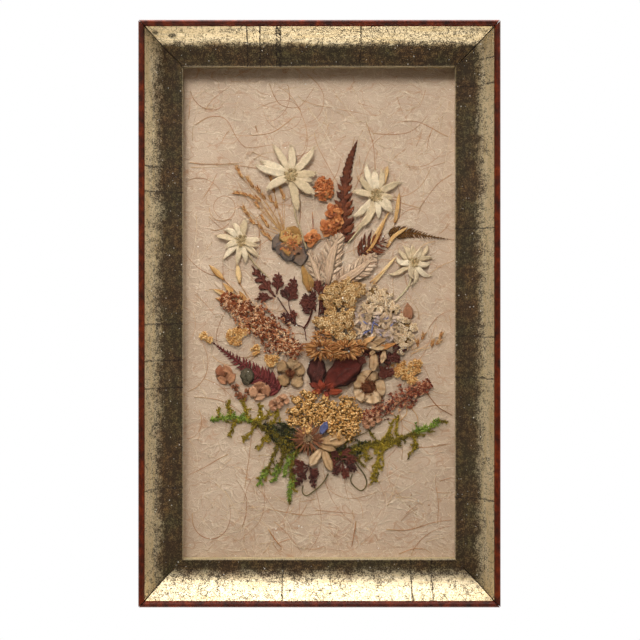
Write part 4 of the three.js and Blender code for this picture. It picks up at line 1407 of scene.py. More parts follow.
@dataclass
class Edelweiss(Specimen):
    """One flower head: woolly bracts round a cluster of button florets.

    Attributes:
        centre: Its middle.
        bracts: Each bract's direction, length and half width.
        disc: The radius of the cluster.
        stem: The stem's route.
        crumple: How much the bracts bend and twist.
        dotted: Whether dark anthers ring the cluster.
    """

    slot = "cream_petal"
    centre: Spot
    bracts: tuple[tuple[float, float, float], ...]
    disc: float
    stem: Path
    crumple: float = 0.25
    dotted: bool = False
    section: ClassVar[Path] = [(-1, 0), (-0.8, 0.75), (-0.4, 1.0), (0, 0.7), (0.4, 1.0), (0.8, 0.75), (1, 0),
                               (0.5, -0.8), (-0.5, -0.8)]

    def draw(self, draft: Draft, floor: float) -> None:
        """Adds the stem, the hub, the bracts with the longest lowest, and the cluster.

        Args:
            draft: The draft, with the random numbers for this specimen.
            floor: The height of its bed.
        """
        rng = draft.rng
        draft.tube(raised(smooth_curve(self.stem, 24), floor + 0.5, floor + 0.3), 0.6, 0.42, sides=7, flat=0.7,
                   coat=2, tone=rng.random())
        hub = self.disc * 1.35
        draft.blob((*self.centre, floor + 0.75), (hub, hub * 0.94, 0.6), rng.uniform(0, 90), lump=0.1, template=BALL,
                   run=0.5)
        for number, (degrees, length, half) in enumerate(sorted(self.bracts, key=lambda bract: -bract[1])):
            low = number < len(self.bracts) / 2
            self.bract(draft, degrees, length, half * 1.16, floor + (0.5 if low else 0.9))
        self.cluster(draft, floor + 1.2)

    def bract(self, draft: Draft, degrees: float, length: float, half: float, floor: float) -> None:
        """Adds one bract: a bent, lumpy, felted tongue with loose wool along its edges.

        Args:
            draft: The draft.
            degrees: Its direction.
            length: Its length from the head's middle.
            half: Its greatest half width.
            floor: The height at which it starts.
        """
        rng, steps = draft.rng, 22
        sway = rng.uniform(-1, 1) * (0.5 + self.crumple) * 14
        path = smooth_curve([
            polar(self.centre, self.disc * 0.3, degrees), polar(self.centre, length * 0.5, degrees),
            polar(self.centre, length * 0.8, degrees + sway * 0.4), polar(self.centre, length, degrees + sway)], steps)
        path = raised(path, floor, floor + rng.uniform(-0.3, 0.2), 0.45)
        path[:, 2] += [0.16 * rough(x, z, 1.8, floor) for x, z, _ in path]
        widths = half * leaf_widths(Outline.BRACT, steps)
        left, right = (widths * [1 + 0.24 * rough(x + shift, z, 2.1, degrees) for x, z, _ in path]
                       for shift in (0, 50))
        draft.sweep(path, left, right, 0.62 * np.clip(widths / half, 0.35, 1), np.array(self.section, float),
                    cup=rng.uniform(-0.1, 0.2) * (1 + self.crumple), twist=rng.uniform(-1, 1) * self.crumple,
                    tone=rng.random())
        for _ in range(int(length * 3)):
            at = path[rng.randrange(3, steps)]
            heading = degrees + rng.choice((-1, 1)) * rng.uniform(20, 80)
            edge = polar(at, half * rng.uniform(0.4, 0.95), heading)
            draft.tube(np.array([(*at[:2], at[2] + 0.3), (*edge, at[2] + 0.3), (
                *polar(edge, rng.uniform(0.2, 0.6), heading - 30), at[2] + rng.uniform(-0.2, 0.3))]),
                0.07, 0.03, sides=3, tone=rng.uniform(0.5, 1))

    def cluster(self, draft: Draft, floor: float) -> None:
        """Adds the button florets: one in the middle and a ring round it, each set with grains.

        Args:
            draft: The draft.
            floor: The height at which they stand.
        """
        rng, count = draft.rng, 7
        buttons = [(self.centre, 0.42)] + [
            (polar(self.centre, self.disc * 0.66, 360 * i / count + rng.uniform(-8, 8)), 0.34) for i in range(count)]
        for middle, share in buttons:
            radius = self.disc * share
            draft.blob((*middle, floor), (radius, radius, radius * 0.5), coat=1, tone=rng.uniform(0, 0.5),
                       template=BALL, run=1.0, lump=0.06)
            for _ in range(16):
                ring = math.sqrt(rng.random())
                size = radius * rng.uniform(0.14, 0.24)
                spot = polar(middle, radius * ring, rng.uniform(0, 360))
                rise = floor + radius * 0.5 * math.sqrt(max(1 - ring * ring, 0.1))
                draft.blob((*spot, rise), (size, size * 0.8, size), rng.uniform(0, 180),
                           coat=rng.choice((0, 0, 1)), tone=rng.uniform(0.1, 1), run=1.0)
        for _ in range(28 if self.dotted else 9):
            spot = polar(self.centre, self.disc * rng.uniform(0.8, 1.04), rng.uniform(0, 360))
            draft.blob((*spot, floor + 0.55), (0.32, 0.24, 0.26), rng.uniform(0, 180), coat=1, tone=0.0, run=0.0)


@dataclass
class Fern(Specimen):
    """A frond: a stalk with toothed pinnae on both sides, running out in a narrow toothed blade.

    Attributes:
        stalk: The stalk's route.
        pairs: How many pairs of pinnae it has.
        reach: The longest pinna.
        broad: The widest pinna's half width.
        slant: The angle between a pinna and the stalk, in degrees.
        widest: Where the longest pinna stands, as a share of the stalk.
        teeth: How many teeth a pinna has on each edge.
        spine: The half width of the blade along the stalk.
        lower: The length of the right-hand pinnae as a share of the left-hand ones.
        base_share: The first pinna's length as a share of the longest.
        fall: How late the pinnae shorten; above 1 they stay long.
        blunt: How late the blade along the stalk narrows.
    """

    part = "frond"
    stalk: Path
    pairs: int
    reach: float
    broad: float
    slant: float = 50.0
    widest: float = 0.25
    teeth: int = 0
    spine: float = 0.5
    lower: float = 1.0
    base_share: float = 0.6
    fall: float = 1.2
    blunt: float = 3.0
    slot: str = "brown_frond"
    steps: int = 80

    def draw(self, draft: Draft, floor: float) -> None:
        """Adds the stalk, the blade along it and the pinnae.

        Args:
            draft: The draft, with the random numbers for this specimen.
            floor: The height of its bed.
        """
        rng = draft.rng
        floor += 0.25
        path = raised(smooth_curve(self.stalk, self.steps), floor, floor, 0.1)
        draft.tube(path, 0.3, 0.1, flat=0.7, tone=0.9)
        blade = self.spine * (1 - np.linspace(0, 1, self.steps) ** self.blunt)
        draft.blade(path, toothed(blade, self.pairs * 1.9, 0.5), 0.1, tone=0.35,
                    right=toothed(blade, self.pairs * 1.9, 0.5, 0.5))
        for i in range(self.pairs):
            t = 0.02 + 0.95 * i / self.pairs
            number = int(t * (self.steps - 2))
            at, ahead = path[number], path[number + 1]
            swell = (self.base_share + (1 - self.base_share) * t / self.widest if t < self.widest
                     else 1 - ((t - self.widest) / (1 - self.widest)) ** self.fall)
            for side in (-1, 1):
                length = self.reach * max(swell, 0.07) * (self.lower if side < 0 else 1) * rng.uniform(0.92, 1.06)
                angle = bearing(at, ahead) + side * (self.slant - 10 * t + rng.uniform(-4, 4))
                draft.leaf(at, polar(at, length, angle), self.broad * max(swell, 0.3), floor + 0.1 * (i % 2),
                           bow=side * 0.07, end=rng.uniform(-0.05, 0.2), teeth=self.teeth,
                           cup=rng.uniform(-0.1, 0.08), tone=rng.uniform(0.15, 0.85), steps=14)


@dataclass
class FeatherLeaf(Specimen):
    """A downy leaf cut into narrow pointed lobes along both edges, each with two side teeth.

    Attributes:
        base: Where it starts.
        tip: Where it ends.
        half: Its half width with the lobes.
        lobes: How many lobes each edge has.
        bow: How far its midrib bows to the left.
        widest: Where its lobes are longest, as a share of its length.
    """

    part = "blade"
    slot = "silver_leaf"
    base: Spot
    tip: Spot
    half: float
    lobes: int
    bow: float = 0.0
    widest: float = 0.45
    steps: int = 50

    def draw(self, draft: Draft, floor: float) -> None:
        """Adds the midrib, a narrow blade and the lobes.

        Args:
            draft: The draft, with the random numbers for this specimen.
            floor: The height of its bed.
        """
        rng = draft.rng
        floor += 0.3
        heading = bearing(self.base, self.tip)
        middle = polar(((self.base[0] + self.tip[0]) / 2, (self.base[1] + self.tip[1]) / 2), self.bow, heading + 90)
        path = raised(smooth_curve([self.base, middle, self.tip], self.steps), floor, floor, 0.3)
        draft.tube(path, 0.4, 0.14, sides=6, tone=0.95)
        draft.blade(path, self.half * 0.4 * leaf_widths(Outline.LANCE, self.steps), 0.12, cup=0.1, tone=0.4)
        for i in range(self.lobes):
            t = 0.05 + 0.93 * i / self.lobes
            at = path[int(t * (self.steps - 1))]
            swell = (0.5 + 0.5 * math.sin(min(t / self.widest, 1) * math.pi / 2) if t < self.widest
                     else 1 - ((t - self.widest) / (1 - self.widest)) ** 2)
            for side in (-1, 1):
                length = self.half * 1.4 * max(swell, 0.22) * rng.uniform(0.9, 1.1)
                angle = heading + side * (48 - 16 * t + rng.uniform(-4, 4))
                tone = rng.random()
                rise = floor + 0.12 * (i % 2)
                draft.leaf(at, polar(at, length, angle), self.half * 0.15, rise, Outline.OVAL, bow=side * 0.06,
                           arch=0.08, end=rng.uniform(0, 0.2), cup=0.05, tone=tone, steps=8)
                for share, turn in ((0.45, -30), (0.6, 28)):
                    start = polar(at, length * share, angle)
                    draft.leaf(start, polar(start, length * 0.34, angle + turn), self.half * 0.075, rise + 0.05,
                               Outline.OVAL, arch=0.03, cup=0.0, tone=tone, steps=5)


@dataclass
class CutLeaf(Specimen):
    """A pressed leaf cut into narrow lobes with blunt teeth, open enough for the paper to show through.

    Attributes:
        lobes: Each lobe's start, direction, length and half width.
        stalks: Routes of its stalks.
        lift: How far above its bed it lies.
    """

    part = "blade"
    slot = "maroon_leaf"
    lobes: tuple[tuple[Spot, float, float, float], ...]
    stalks: tuple[Path, ...] = ()
    lift: float = 0.25

    def draw(self, draft: Draft, floor: float) -> None:
        """Adds the lobes and the stalks.

        Args:
            draft: The draft, with the random numbers for this specimen.
            floor: The height of its bed.
        """
        floor += self.lift
        for number, lobe in enumerate(self.lobes):
            self.lobe(draft, *lobe, floor + 0.1 * (number % 3))
        for stalk in self.stalks:
            draft.tube(raised(smooth_curve(stalk, 22), floor, floor), 0.32, 0.24, tone=0.7)

    @staticmethod
    def lobe(draft: Draft, start: Spot, degrees: float, length: float, half: float, floor: float) -> None:
        """Adds one lobe: a toothed blade with toothed side lobes, shorter towards its tip.

        Args:
            draft: The draft.
            start: Where it starts.
            degrees: Its direction.
            length: Its length.
            half: Its half width with the side lobes.
            floor: The height at which it starts.
        """
        rng = draft.rng
        tone = rng.random()
        draft.leaf(start, polar(start, length, degrees), half * 0.38, floor, Outline.OVAL,
                   bow=rng.uniform(-0.04, 0.04), cup=0.08, teeth=max(3, round(length / 2.4)), tone=tone, steps=28)
        for share in (0.26, 0.48, 0.68):
            at = polar(start, length * share, degrees)
            for side in (-1, 1):
                size = half * (1.55 - share) * rng.uniform(0.85, 1.15)
                angle = degrees + side * rng.uniform(36, 50)
                draft.leaf(at, polar(at, size, angle), size * 0.31, floor + 0.05, Outline.WEDGE, cup=0.08,
                           bow=-side * 0.06, end=rng.uniform(0, 0.2), teeth=2, tone=min(1.0, tone + 0.1), steps=12)


@dataclass
class FloretHead(Specimen):
    """A flat head of many small florets that stand in bunches on branching stalks.

    Attributes:
        centre: Its middle.
        width: How wide it is.
        height: How tall it is.
        florets: How many florets it has.
        size: A floret's radius.
        petals: Petals round each floret; none makes it a plain bead.
        turn: How far it is turned, in degrees.
        bunches: How many bunches its florets stand in.
        extra: Further ovals of it, as (x, z, width, height).
    """

    centre: Spot
    width: float
    height: float
    florets: int
    size: float
    petals: int = 5
    turn: float = 0.0
    bunches: int = 12
    slot: str = "golden_floret"
    extra: tuple[tuple[float, float, float, float], ...] = ()
    golden_angle: ClassVar[float] = 137.5

    def draw(self, draft: Draft, floor: float) -> None:
        """Shares the florets and the bunches out over the head's ovals.

        Args:
            draft: The draft, with the random numbers for this specimen.
            floor: The height of its bed.
        """
        areas = [(*self.centre, self.width, self.height), *self.extra]
        total = sum(width * height for _, _, width, height in areas)
        for x, z, width, height in areas:
            share = width * height / total
            self.area(draft, (x, z), (width, height), max(3, round(self.bunches * share)),
                      round(self.florets * share), floor)

    def area(self, draft: Draft, middle: Spot, extent: Spot, bunches: int, florets: int, floor: float) -> None:
        """Fills an oval with domed bunches of florets.

        Args:
            draft: The draft.
            middle: The oval's middle.
            extent: Its width and height.
            bunches: How many bunches it gets.
            florets: How many florets it gets.
            floor: The height of its bed.
        """
        rng, (width, height) = draft.rng, extent
        turn = Matrix.Rotation(math.radians(self.turn), 2)
        places = []
        for i in range(bunches):
            radius = math.sqrt((i + 0.5) / bunches) * 0.86
            u, v = polar((0, 0), radius, self.golden_angle * i + rng.uniform(-15, 15))
            x, z = turn @ Vector((u * width / 2, v * height / 2))
            places.append((middle[0] + x, middle[1] + z, radius))
        root = (middle[0], middle[1] - height * 0.3)
        bunch_size = math.sqrt(width * height / bunches) * 0.62
        for x, z, _ in places:
            # A brown disc of stalks under each bunch, which also stands as painted shade in the gaps between its
            # florets.
            draft.blob((x, z, floor + 0.45), (bunch_size * 0.7, bunch_size * 0.7, 0.5), coat=1, tone=0.9,
                       template=BALL, run=1.0)
            path = raised(smooth_curve([root, ((root[0] + x) / 2, (root[1] + z) / 2 - 0.6), (x, z)], 8),
                          floor + 0.1, floor + 0.55)
            draft.tube(path, 0.22, 0.14, sides=4, coat=1, tone=rng.random())
        for i in range(florets):
            x, z, radius = places[i % bunches]
            reach = bunch_size * math.sqrt(rng.random())
            spot = polar((x, z), reach, rng.uniform(0, 360))
            # A bunch is a dome: its florets rise towards its middle and are darkened towards its edge as painted
            # shade, so that bunches stand apart.
            crown = 1 - (reach / bunch_size) ** 2
            rise = floor + 0.6 + 1.3 * crown + 0.3 * (1 - radius) + rng.uniform(0, 0.2)
            draft.tube(np.array([(x, z, floor + 0.3), (*spot, rise)]), 0.1, 0.07, sides=3, coat=1, tone=rng.random())
            self.floret(draft, (*spot, rise), self.size * rng.uniform(0.75, 1.25), 0.5 * crown)

    def floret(self, draft: Draft, spot: tuple[float, float, float], size: float, crown: float = 0.3) -> None:
        """Adds one floret: a few cupped petals round a boss, or a bead with a dark mouth.

        Args:
            draft: The draft.
            spot: Its middle.
            size: Its radius.
            crown: The least tone that it has; florets at a bunch's edge get less of it, as painted shade.
        """
        rng = draft.rng
        tone = crown + 0.5 * rng.random()
        first = rng.uniform(0, 360)
        if not self.petals:
            draft.blob(spot, (size, size * 0.92, size * 0.85), first, tone=tone, lump=0.14, run=1.0)
            draft.blob((spot[0] + size * 0.2, spot[1] - size * 0.1, spot[2] + size * 0.66),
                       (size * 0.24, size * 0.2, size * 0.2), first, coat=1, tone=0.6, run=0.5)
            return
        draft.blob((spot[0], spot[1], spot[2] + size * 0.2), (size * 0.34,) * 3, first, tone=tone * 0.4, run=0.3)
        for i in range(self.petals):
            angle = first + 360 * i / self.petals + rng.uniform(-14, 14)
            draft.blob((*polar(spot, size * 0.6, angle), spot[2] + rng.uniform(-0.1, 0.15)),
                       (size * 0.5, size * 0.42, size * 0.22), angle, rng.uniform(0, 50),
                       tone=min(1, max(0, tone + rng.uniform(-0.2, 0.2))))


@dataclass
class Panicle(Specimen):
    """A spike of crowded small bells along a curved axis.

    Attributes:
        axis: The route of its axis.
        half: Its half width.
        florets: How many bells it has.
        size: A bell's size.
        stalk: The route of its bare stalk.
        bleached: The share of bells that have lost their red brown.
    """

    part = "spike"
    slot = "rose_floret"
    axis: Path
    half: float
    florets: int
    size: float
    stalk: Path = ()
    bleached: float = 0.34
    steps: int = 60

    def draw(self, draft: Draft, floor: float) -> None:
        """Adds the axis, the bare stalk and the bells, each of three lobes.

        Args:
            draft: The draft, with the random numbers for this specimen.
            floor: The height of its bed.
        """
        rng = draft.rng
        path = smooth_curve(self.axis, self.steps)
        draft.tube(raised(path, floor + 0.3, floor + 0.4), 0.35, 0.2, coat=1, tone=0.4)
        if self.stalk:
            draft.tube(raised(smooth_curve(self.stalk, 30), floor + 0.4, floor - 0.1), 0.3, 0.16, coat=1, tone=0.8)
        for _ in range(self.florets):
            t = rng.random()
            number = int(t * (self.steps - 2))
            at, heading = path[number], bearing(path[number], path[number + 1])
            swell = min(1, 0.35 + 1.7 * t, 0.55 + 1.8 * (1 - t)) * (1 + 0.16 * math.sin(t * 19))
            aside = max(-1.0, min(1.0, rng.gauss(0, 0.5))) * self.half * swell
            spot = polar(at, aside, heading + 90)
            rise = floor + 0.45 + 1.15 * (1 - (aside / self.half) ** 2) * rng.uniform(0.45, 1)
            tone = rng.uniform(0.65, 1.0) if rng.random() < self.bleached else rng.uniform(0, 0.55)
            first = heading + rng.gauss(0, 70)
            size = self.size * rng.uniform(0.65, 1.2)
            for k in range(3):
                angle = first + rng.uniform(-40, 40) + 120 * k
                draft.blob((*polar(spot, size * 0.42, angle), rise + 0.1 * k),
                           (size * 0.66, size * 0.42, size * 0.34), angle, rng.uniform(-10, 50),
                           tone=min(1, max(0, tone + rng.uniform(-0.15, 0.15))))


@dataclass
class OpenFlower(Specimen):
    """A flower pressed open: rounded, crumpled petals round an eye.

    Attributes:
        centre: Its middle.
        petals: Each petal's direction, length and half width.
        eye: The eye's radius.
        cup: How far the petals' edges rise.
        ragged: How uneven the petals' edges are.
        start: Where the petals start, as a share of the eye's radius.
        outline: The petals' outline.
    """

    centre: Spot
    petals: tuple[tuple[float, float, float], ...]
    eye: float
    cup: float = 0.25
    ragged: float = 0.06
    start: float = 0.5
    outline: Outline = Outline.ROUND

    def draw(self, draft: Draft, floor: float) -> None:
        """Adds the petals in the draft's first finish and the eye in its second, from the flower's own numbers.

        Args:
            draft: The draft, with the random numbers for this specimen.
            floor: The height of its bed.
        """
        rng = random.Random(self.name)
        for number, (degrees, length, half) in enumerate(self.petals):
            draft.leaf(polar(self.centre, self.eye * self.start, degrees), polar(self.centre, length, degrees), half,
                       floor + 0.3 + 0.14 * (number % 2), self.outline, bow=rng.uniform(-0.08, 0.08),
                       end=rng.uniform(0, 0.3), cup=self.cup * rng.uniform(0.4, 1.1),
                       twist=rng.uniform(-1, 1) * self.ragged * 1.3, ragged=self.ragged, tone=rng.random(), steps=18)
        draft.blob((*self.centre, floor + 0.55), (self.eye * 0.86, self.eye * 0.82, 0.4), coat=1, tone=0.25,
                   template=BALL, run=1.0, lump=0.06)
        for _ in range(int(9 * self.eye**2) + 12):
            size = rng.uniform(0.2, 0.42)
            draft.blob((*polar(self.centre, self.eye * math.sqrt(rng.random()), rng.uniform(0, 360)),
                        floor + 0.7 + rng.uniform(0, 0.35)), (size, size * 0.8, size), rng.uniform(0, 180),
                       coat=1, tone=rng.random())


@dataclass
class Moss(Specimen):
    """Feathery moss shoots: each branch is a thin stem with fine side shoots, all set with tiny pointed leaves.

    Attributes:
        branches: Each branch's route, half width and coat.
        own_coat: The share of side shoots that keep their branch's coat.
    """

    part = "spray"
    slot = "moss"
    branches: tuple[tuple[Path, float, int], ...]
    own_coat: float = 0.66

    def draw(self, draft: Draft, floor: float) -> None:
        """Adds each branch with its side shoots.

        Args:
            draft: The draft, with the random numbers for this specimen.
            floor: The height of its bed.
        """
        rng = draft.rng
        floor += 0.4
        for route, half, coat in self.branches:
            length = sum(math.dist(a, b) for a, b in zip(route, route[1:]))
            path = raised(smooth_curve(route, max(12, int(length * 1.5))), floor, floor, 0.2)
            for axis in (0, 1):
                path[:, axis] += [0.7 * rough(x + 40 * axis, z, 2.6, 3.0) for x, z, _ in path]
            self.shoot(draft, path, half, coat, int(length * 10))
            for _ in range(int(length * 0.5)):
                number = rng.randrange(1, len(path) - 1)
                at = path[number]
                angle = bearing(path[number - 1], at) + rng.choice((-1, 1)) * rng.uniform(25, 75)
                reach = half * rng.uniform(0.9, 1.7)
                side = smooth_curve([at[:2], polar(at, reach * 0.5, angle),
                                     polar(at, reach, angle + rng.uniform(-45, 45))], 7)
                self.shoot(draft, raised(side, floor, floor + rng.uniform(0, 0.4)), half * 0.55,
                           coat if rng.random() < self.own_coat else rng.choice((0, 2)), int(reach * 6))

    @staticmethod
    def shoot(draft: Draft, path: np.ndarray, half: float, coat: int, leaves: int) -> None:
        """Adds one shoot: its stem and its leaves, which spread forwards.

        Args:
            draft: The draft.
            path: Rows of (x, z, h).
            half: The longest leaf.
            coat: Which of the piece's materials it gets.
            leaves: How many leaves it has.
        """
        rng = draft.rng
        draft.tube(path, 0.17, 0.1, sides=4, coat=coat, tone=0.2)
        for _ in range(leaves):
            t = rng.random()
            number = int(t * (len(path) - 1))
            at = path[number]
            angle = bearing(at, path[number + 1]) + rng.choice((-1, 1)) * rng.uniform(12, 80)
            reach = half * rng.uniform(0.4, 1.05) * (1 - 0.25 * t)
            draft.leaf(at, polar(at, reach, angle), rng.uniform(0.5, 0.95), at[2] + rng.uniform(-0.1, 0.3),
                       end=rng.uniform(-0.3, 0.4), thick=0.06, coat=coat, tone=rng.random(), steps=2)


# Routes, centres and lengths below are millimetres of the picture, read off the specimen.
EDELWEISS = (
    Edelweiss("edelweiss_top_left", (-14.3, 71.1), (
        (2, 13.5, 1.9), (45, 18.6, 1.8), (86, 15.8, 1.9), (119, 18.6, 1.7), (153, 17.6, 1.9), (169, 19.4, 1.7),
        (207, 15.8, 1.9), (280, 19.0, 1.9), (318, 15.6, 2.2), (345, 12.0, 1.8)), 3.9,
        [(-15.0, 66), (-13.2, 62), (-12.4, 51), (-9.5, 43), (-6.5, 33)], 0.15),
    Edelweiss("edelweiss_top_right", (29.9, 60.7), (
        (34, 14.2, 1.7), (70, 14.6, 1.7), (96, 13.4, 1.8), (115, 17.4, 1.6), (140, 12.6, 1.6), (170, 12.6, 1.6),
        (228, 17.0, 1.7), (251, 19.2, 1.8), (276, 12.0, 1.5), (314, 11.8, 2.2), (350, 8.6, 1.6)), 3.8,
        [(27.5, 52), (25, 48), (20, 42), (15, 36)], 0.4, dotted=True),
    Edelweiss("edelweiss_left", (-40.3, 37.3), (
        (2, 9.8, 1.4), (80, 11.6, 1.7), (105, 10.0, 1.5), (136, 10.4, 1.5), (168, 13.2, 1.4), (200, 9.0, 1.4),
        (223, 13.4, 1.4), (260, 12.6, 1.4), (286, 11.6, 1.5), (318, 12.2, 1.4), (340, 9.0, 1.3)), 3.4,
        [(-37.8, 32), (-37, 31), (-33, 25), (-26, 18)], 0.45),
    Edelweiss("edelweiss_right", (49.1, 26.4), (
        (20, 10, 1.3), (38, 11.6, 1.2), (62, 8.6, 1.5), (92, 9.0, 1.5), (118, 10, 1.6), (150, 10.4, 1.5),
        (190, 9.4, 1.4), (218, 14.4, 1.2), (250, 9.4, 1.5), (284, 12.8, 1.3), (306, 12.0, 1.2), (340, 8.4, 1.4)), 3.2,
        [(49, 24.5), (46.5, 14), (39.5, 5.6)], 1.3),
)

FERNS = (
    (Fern("fern_red_brown", [(13.0, 36.5), (12.8, 50), (13.4, 64), (15.8, 78), (20.0, 89.6)], 12, 8.2, 2.1, 50, 0.15,
          3, 2.9, base_share=0.95, fall=1.25, blunt=6.0), BROWN_FERN),
    (Fern("fern_olive", [(36, 41.0), (46, 41.5), (57, 39.6), (70.2, 37.6)], 22, 5.0, 0.66, 52, 0.12, 0, 0.7,
          base_share=0.8, fall=1.0), OLIVE_FERN),
    (Fern("fern_brown", [(20.5, 30.0), (27, 34.5), (36.4, 38.6)], 7, 9.4, 1.05, 52, 0.4, 3, 0.9,
          base_share=0.8, fall=1.6), BROWN_FERN),
    (Fern("fern_crimson", [(-20.5, -40.5), (-32, -32), (-45, -23), (-57.4, -13.6)], 22, 8.2, 1.2, 60, 0.16, 0, 1.3,
          lower=0.92, base_share=0.92, fall=1.0, slot="maroon_leaf"), CRIMSON),
)

SILVER_LEAVES = (
    FeatherLeaf("silver_leaf_left", (1.2, 13.0), (-6.4, 33.2), 4.0, 14, -0.6),
    FeatherLeaf("silver_leaf_middle", (4.4, 14.0), (11.2, 41.8), 6.2, 17, 1.4),
    FeatherLeaf("silver_leaf_right", (7, 14.0), (30.0, 30.6), 5.8, 16, -1.6),
)

CUT_LEAVES = (
    CutLeaf("maroon_leaf_left", (
        ((-22.5, 8.0), 127, 21.0, 4.0), ((-22.0, 9.5), 84, 12.0, 3.2), ((-23.5, 7.5), 172, 8.6, 2.8),
        ((-15.8, 6.0), 76, 13.5, 3.4), ((-15.8, 6.5), 120, 7.0, 2.4), ((-15.4, 6.5), 36, 5.6, 2.2),
        ((-12.5, -6.0), 142, 9.4, 2.5), ((-12.2, -4.5), 108, 6.5, 2.2)),
        ([(-21.5, 8), (-16.5, 0.5), (-11.8, -5.8), (-7.8, -8.0), (-6.5, -14.5)],
         [(-11.8, -5.8), (-15.0, 2.0), (-15.8, 7.0)], [(-7.8, -8.0), (-5.4, -4.0), (-3.0, 3.0)],
         [(-11.8, -5.8), (-13, -7)])),
    CutLeaf("maroon_leaf_middle", (
        ((-3.4, 3.5), 128, 8.0, 2.8), ((-4.0, 4.0), 164, 6.6, 2.6), ((-3.0, 3.5), 92, 8.4, 2.6),
        ((-3.6, 3.0), 214, 5.4, 2.2), ((0.4, 8.5), 98, 9.4, 3.0), ((1.0, 8.0), 58, 8.0, 2.8),
        ((1.0, 7.0), 18, 7.0, 2.6), ((0.0, 1.5), 66, 9.6, 3.2),
        ((-1.5, 0.5), 118, 8.4, 3.0), ((0.2, -1.0), 40, 7.0, 2.6), ((-1.0, -3.0), 350, 6.0, 2.2)),
        ([(-2.8, 4), (-5.0, -4), (-7.6, -8)], [(0.6, 9), (0, 0), (-1.6, -8), (-2.0, -16)])),
    CutLeaf("dark_leaf_right", (
        ((29.0, -27.4), 30, 16.4, 3.6), ((31.0, -25.5), 68, 8.6, 3.0), ((29.5, -26.0), 112, 9.0, 2.6),
        ((31.0, -27.5), 330, 9.6, 3.2), ((31.0, -27.5), 298, 8.0, 2.8), ((38.5, -19.6), 12, 7.6, 2.4),
        ((28.0, -22.5), 150, 6.6, 2.3), ((38.0, -19.0), 62, 5.4, 2.0), ((34.5, -22.5), 344, 8.5, 2.6),
        ((21.6, -29.0), 82, 7.6, 2.4)),
        ([(32.5, -25.5), (28, -30), (24, -35)],), 1.5),
    CutLeaf("maroon_leaf_bottom", (
        ((-5.5, -79.5), 162, 8.6, 2.4), ((-5.5, -80.0), 196, 9.4, 2.6), ((-5.5, -80.5), 236, 12.4, 2.8),
        ((-4.8, -80.5), 284, 11.8, 2.6), ((-4.8, -80), 318, 7.0, 2.2), ((-5.0, -79), 40, 5.4, 2.0)),
        ([(-5.2, -80), (-4.6, -75), (-3.5, -70)],)),
    CutLeaf("maroon_leaf_corner", (
        ((11.5, -76.0), 2, 9.6, 2.6), ((11.0, -75.0), 44, 7.4, 2.2), ((11.0, -75.5), 140, 6.4, 2.2),
        ((11.0, -76.5), 196, 7.4, 2.4), ((11.5, -77.0), 244, 8.4, 2.6), ((12.0, -77.0), 284, 9.8, 2.8),
        ((12.5, -77.0), 326, 9.4, 2.8)),
        ([(12, -77), (9, -72), (6, -67)],)),
)

FLORET_HEADS = (
    (FloretHead("yarrow_cream_top", (12.2, 9.6), 20.5, 13.5, 340, 1.0, bunches=15, turn=8,
                extra=((4.0, 6.8, 6.0, 6.0), (21.0, 13.0, 6.5, 5.5))), CREAM_YARROW),
    (FloretHead("yarrow_cream_middle", (9.6, -4.2), 20.0, 13.5, 340, 1.0, bunches=14, turn=14,
                extra=((0.6, -4.6, 5.5, 6.0), (14.5, -12.0, 12.0, 5.0))), CREAM_YARROW),
    (FloretHead("yarrow_mauve", (31.0, 4.4), 19.5, 17.0, 430, 0.98, bunches=15, slot="silver_leaf",
                extra=((44.5, -8.0, 11.0, 13.0), (42.0, -16.5, 9.0, 7.0), (28.0, -9.0, 12.0, 10.0))), MAUVE_YARROW),
    (FloretHead("yarrow_golden_left", (-5.6, -51.5), 26.0, 24.0, 620, 0.56, petals=0, bunches=30), GOLD_YARROW),
    (FloretHead("yarrow_golden_right", (12.6, -55.0), 22.0, 25.0, 560, 0.58, petals=0, bunches=26), GOLD_YARROW),
)

PANICLES = (
    (Panicle("heather_panicle", [(-50, 8.5), (-41, 2.5), (-31, -4.5), (-21, -13), (-8.5, -22)], 8.4, 1050, 0.92),
     HEATHER),
    (Panicle("panicle_right", [(57.5, -36.5), (47, -42), (36, -48), (19.5, -55.5)], 5.6, 430, 0.9,
             [(54, -38), (57, -43), (62, -49), (69.3, -53.4)]), RED_HEATHER),
)

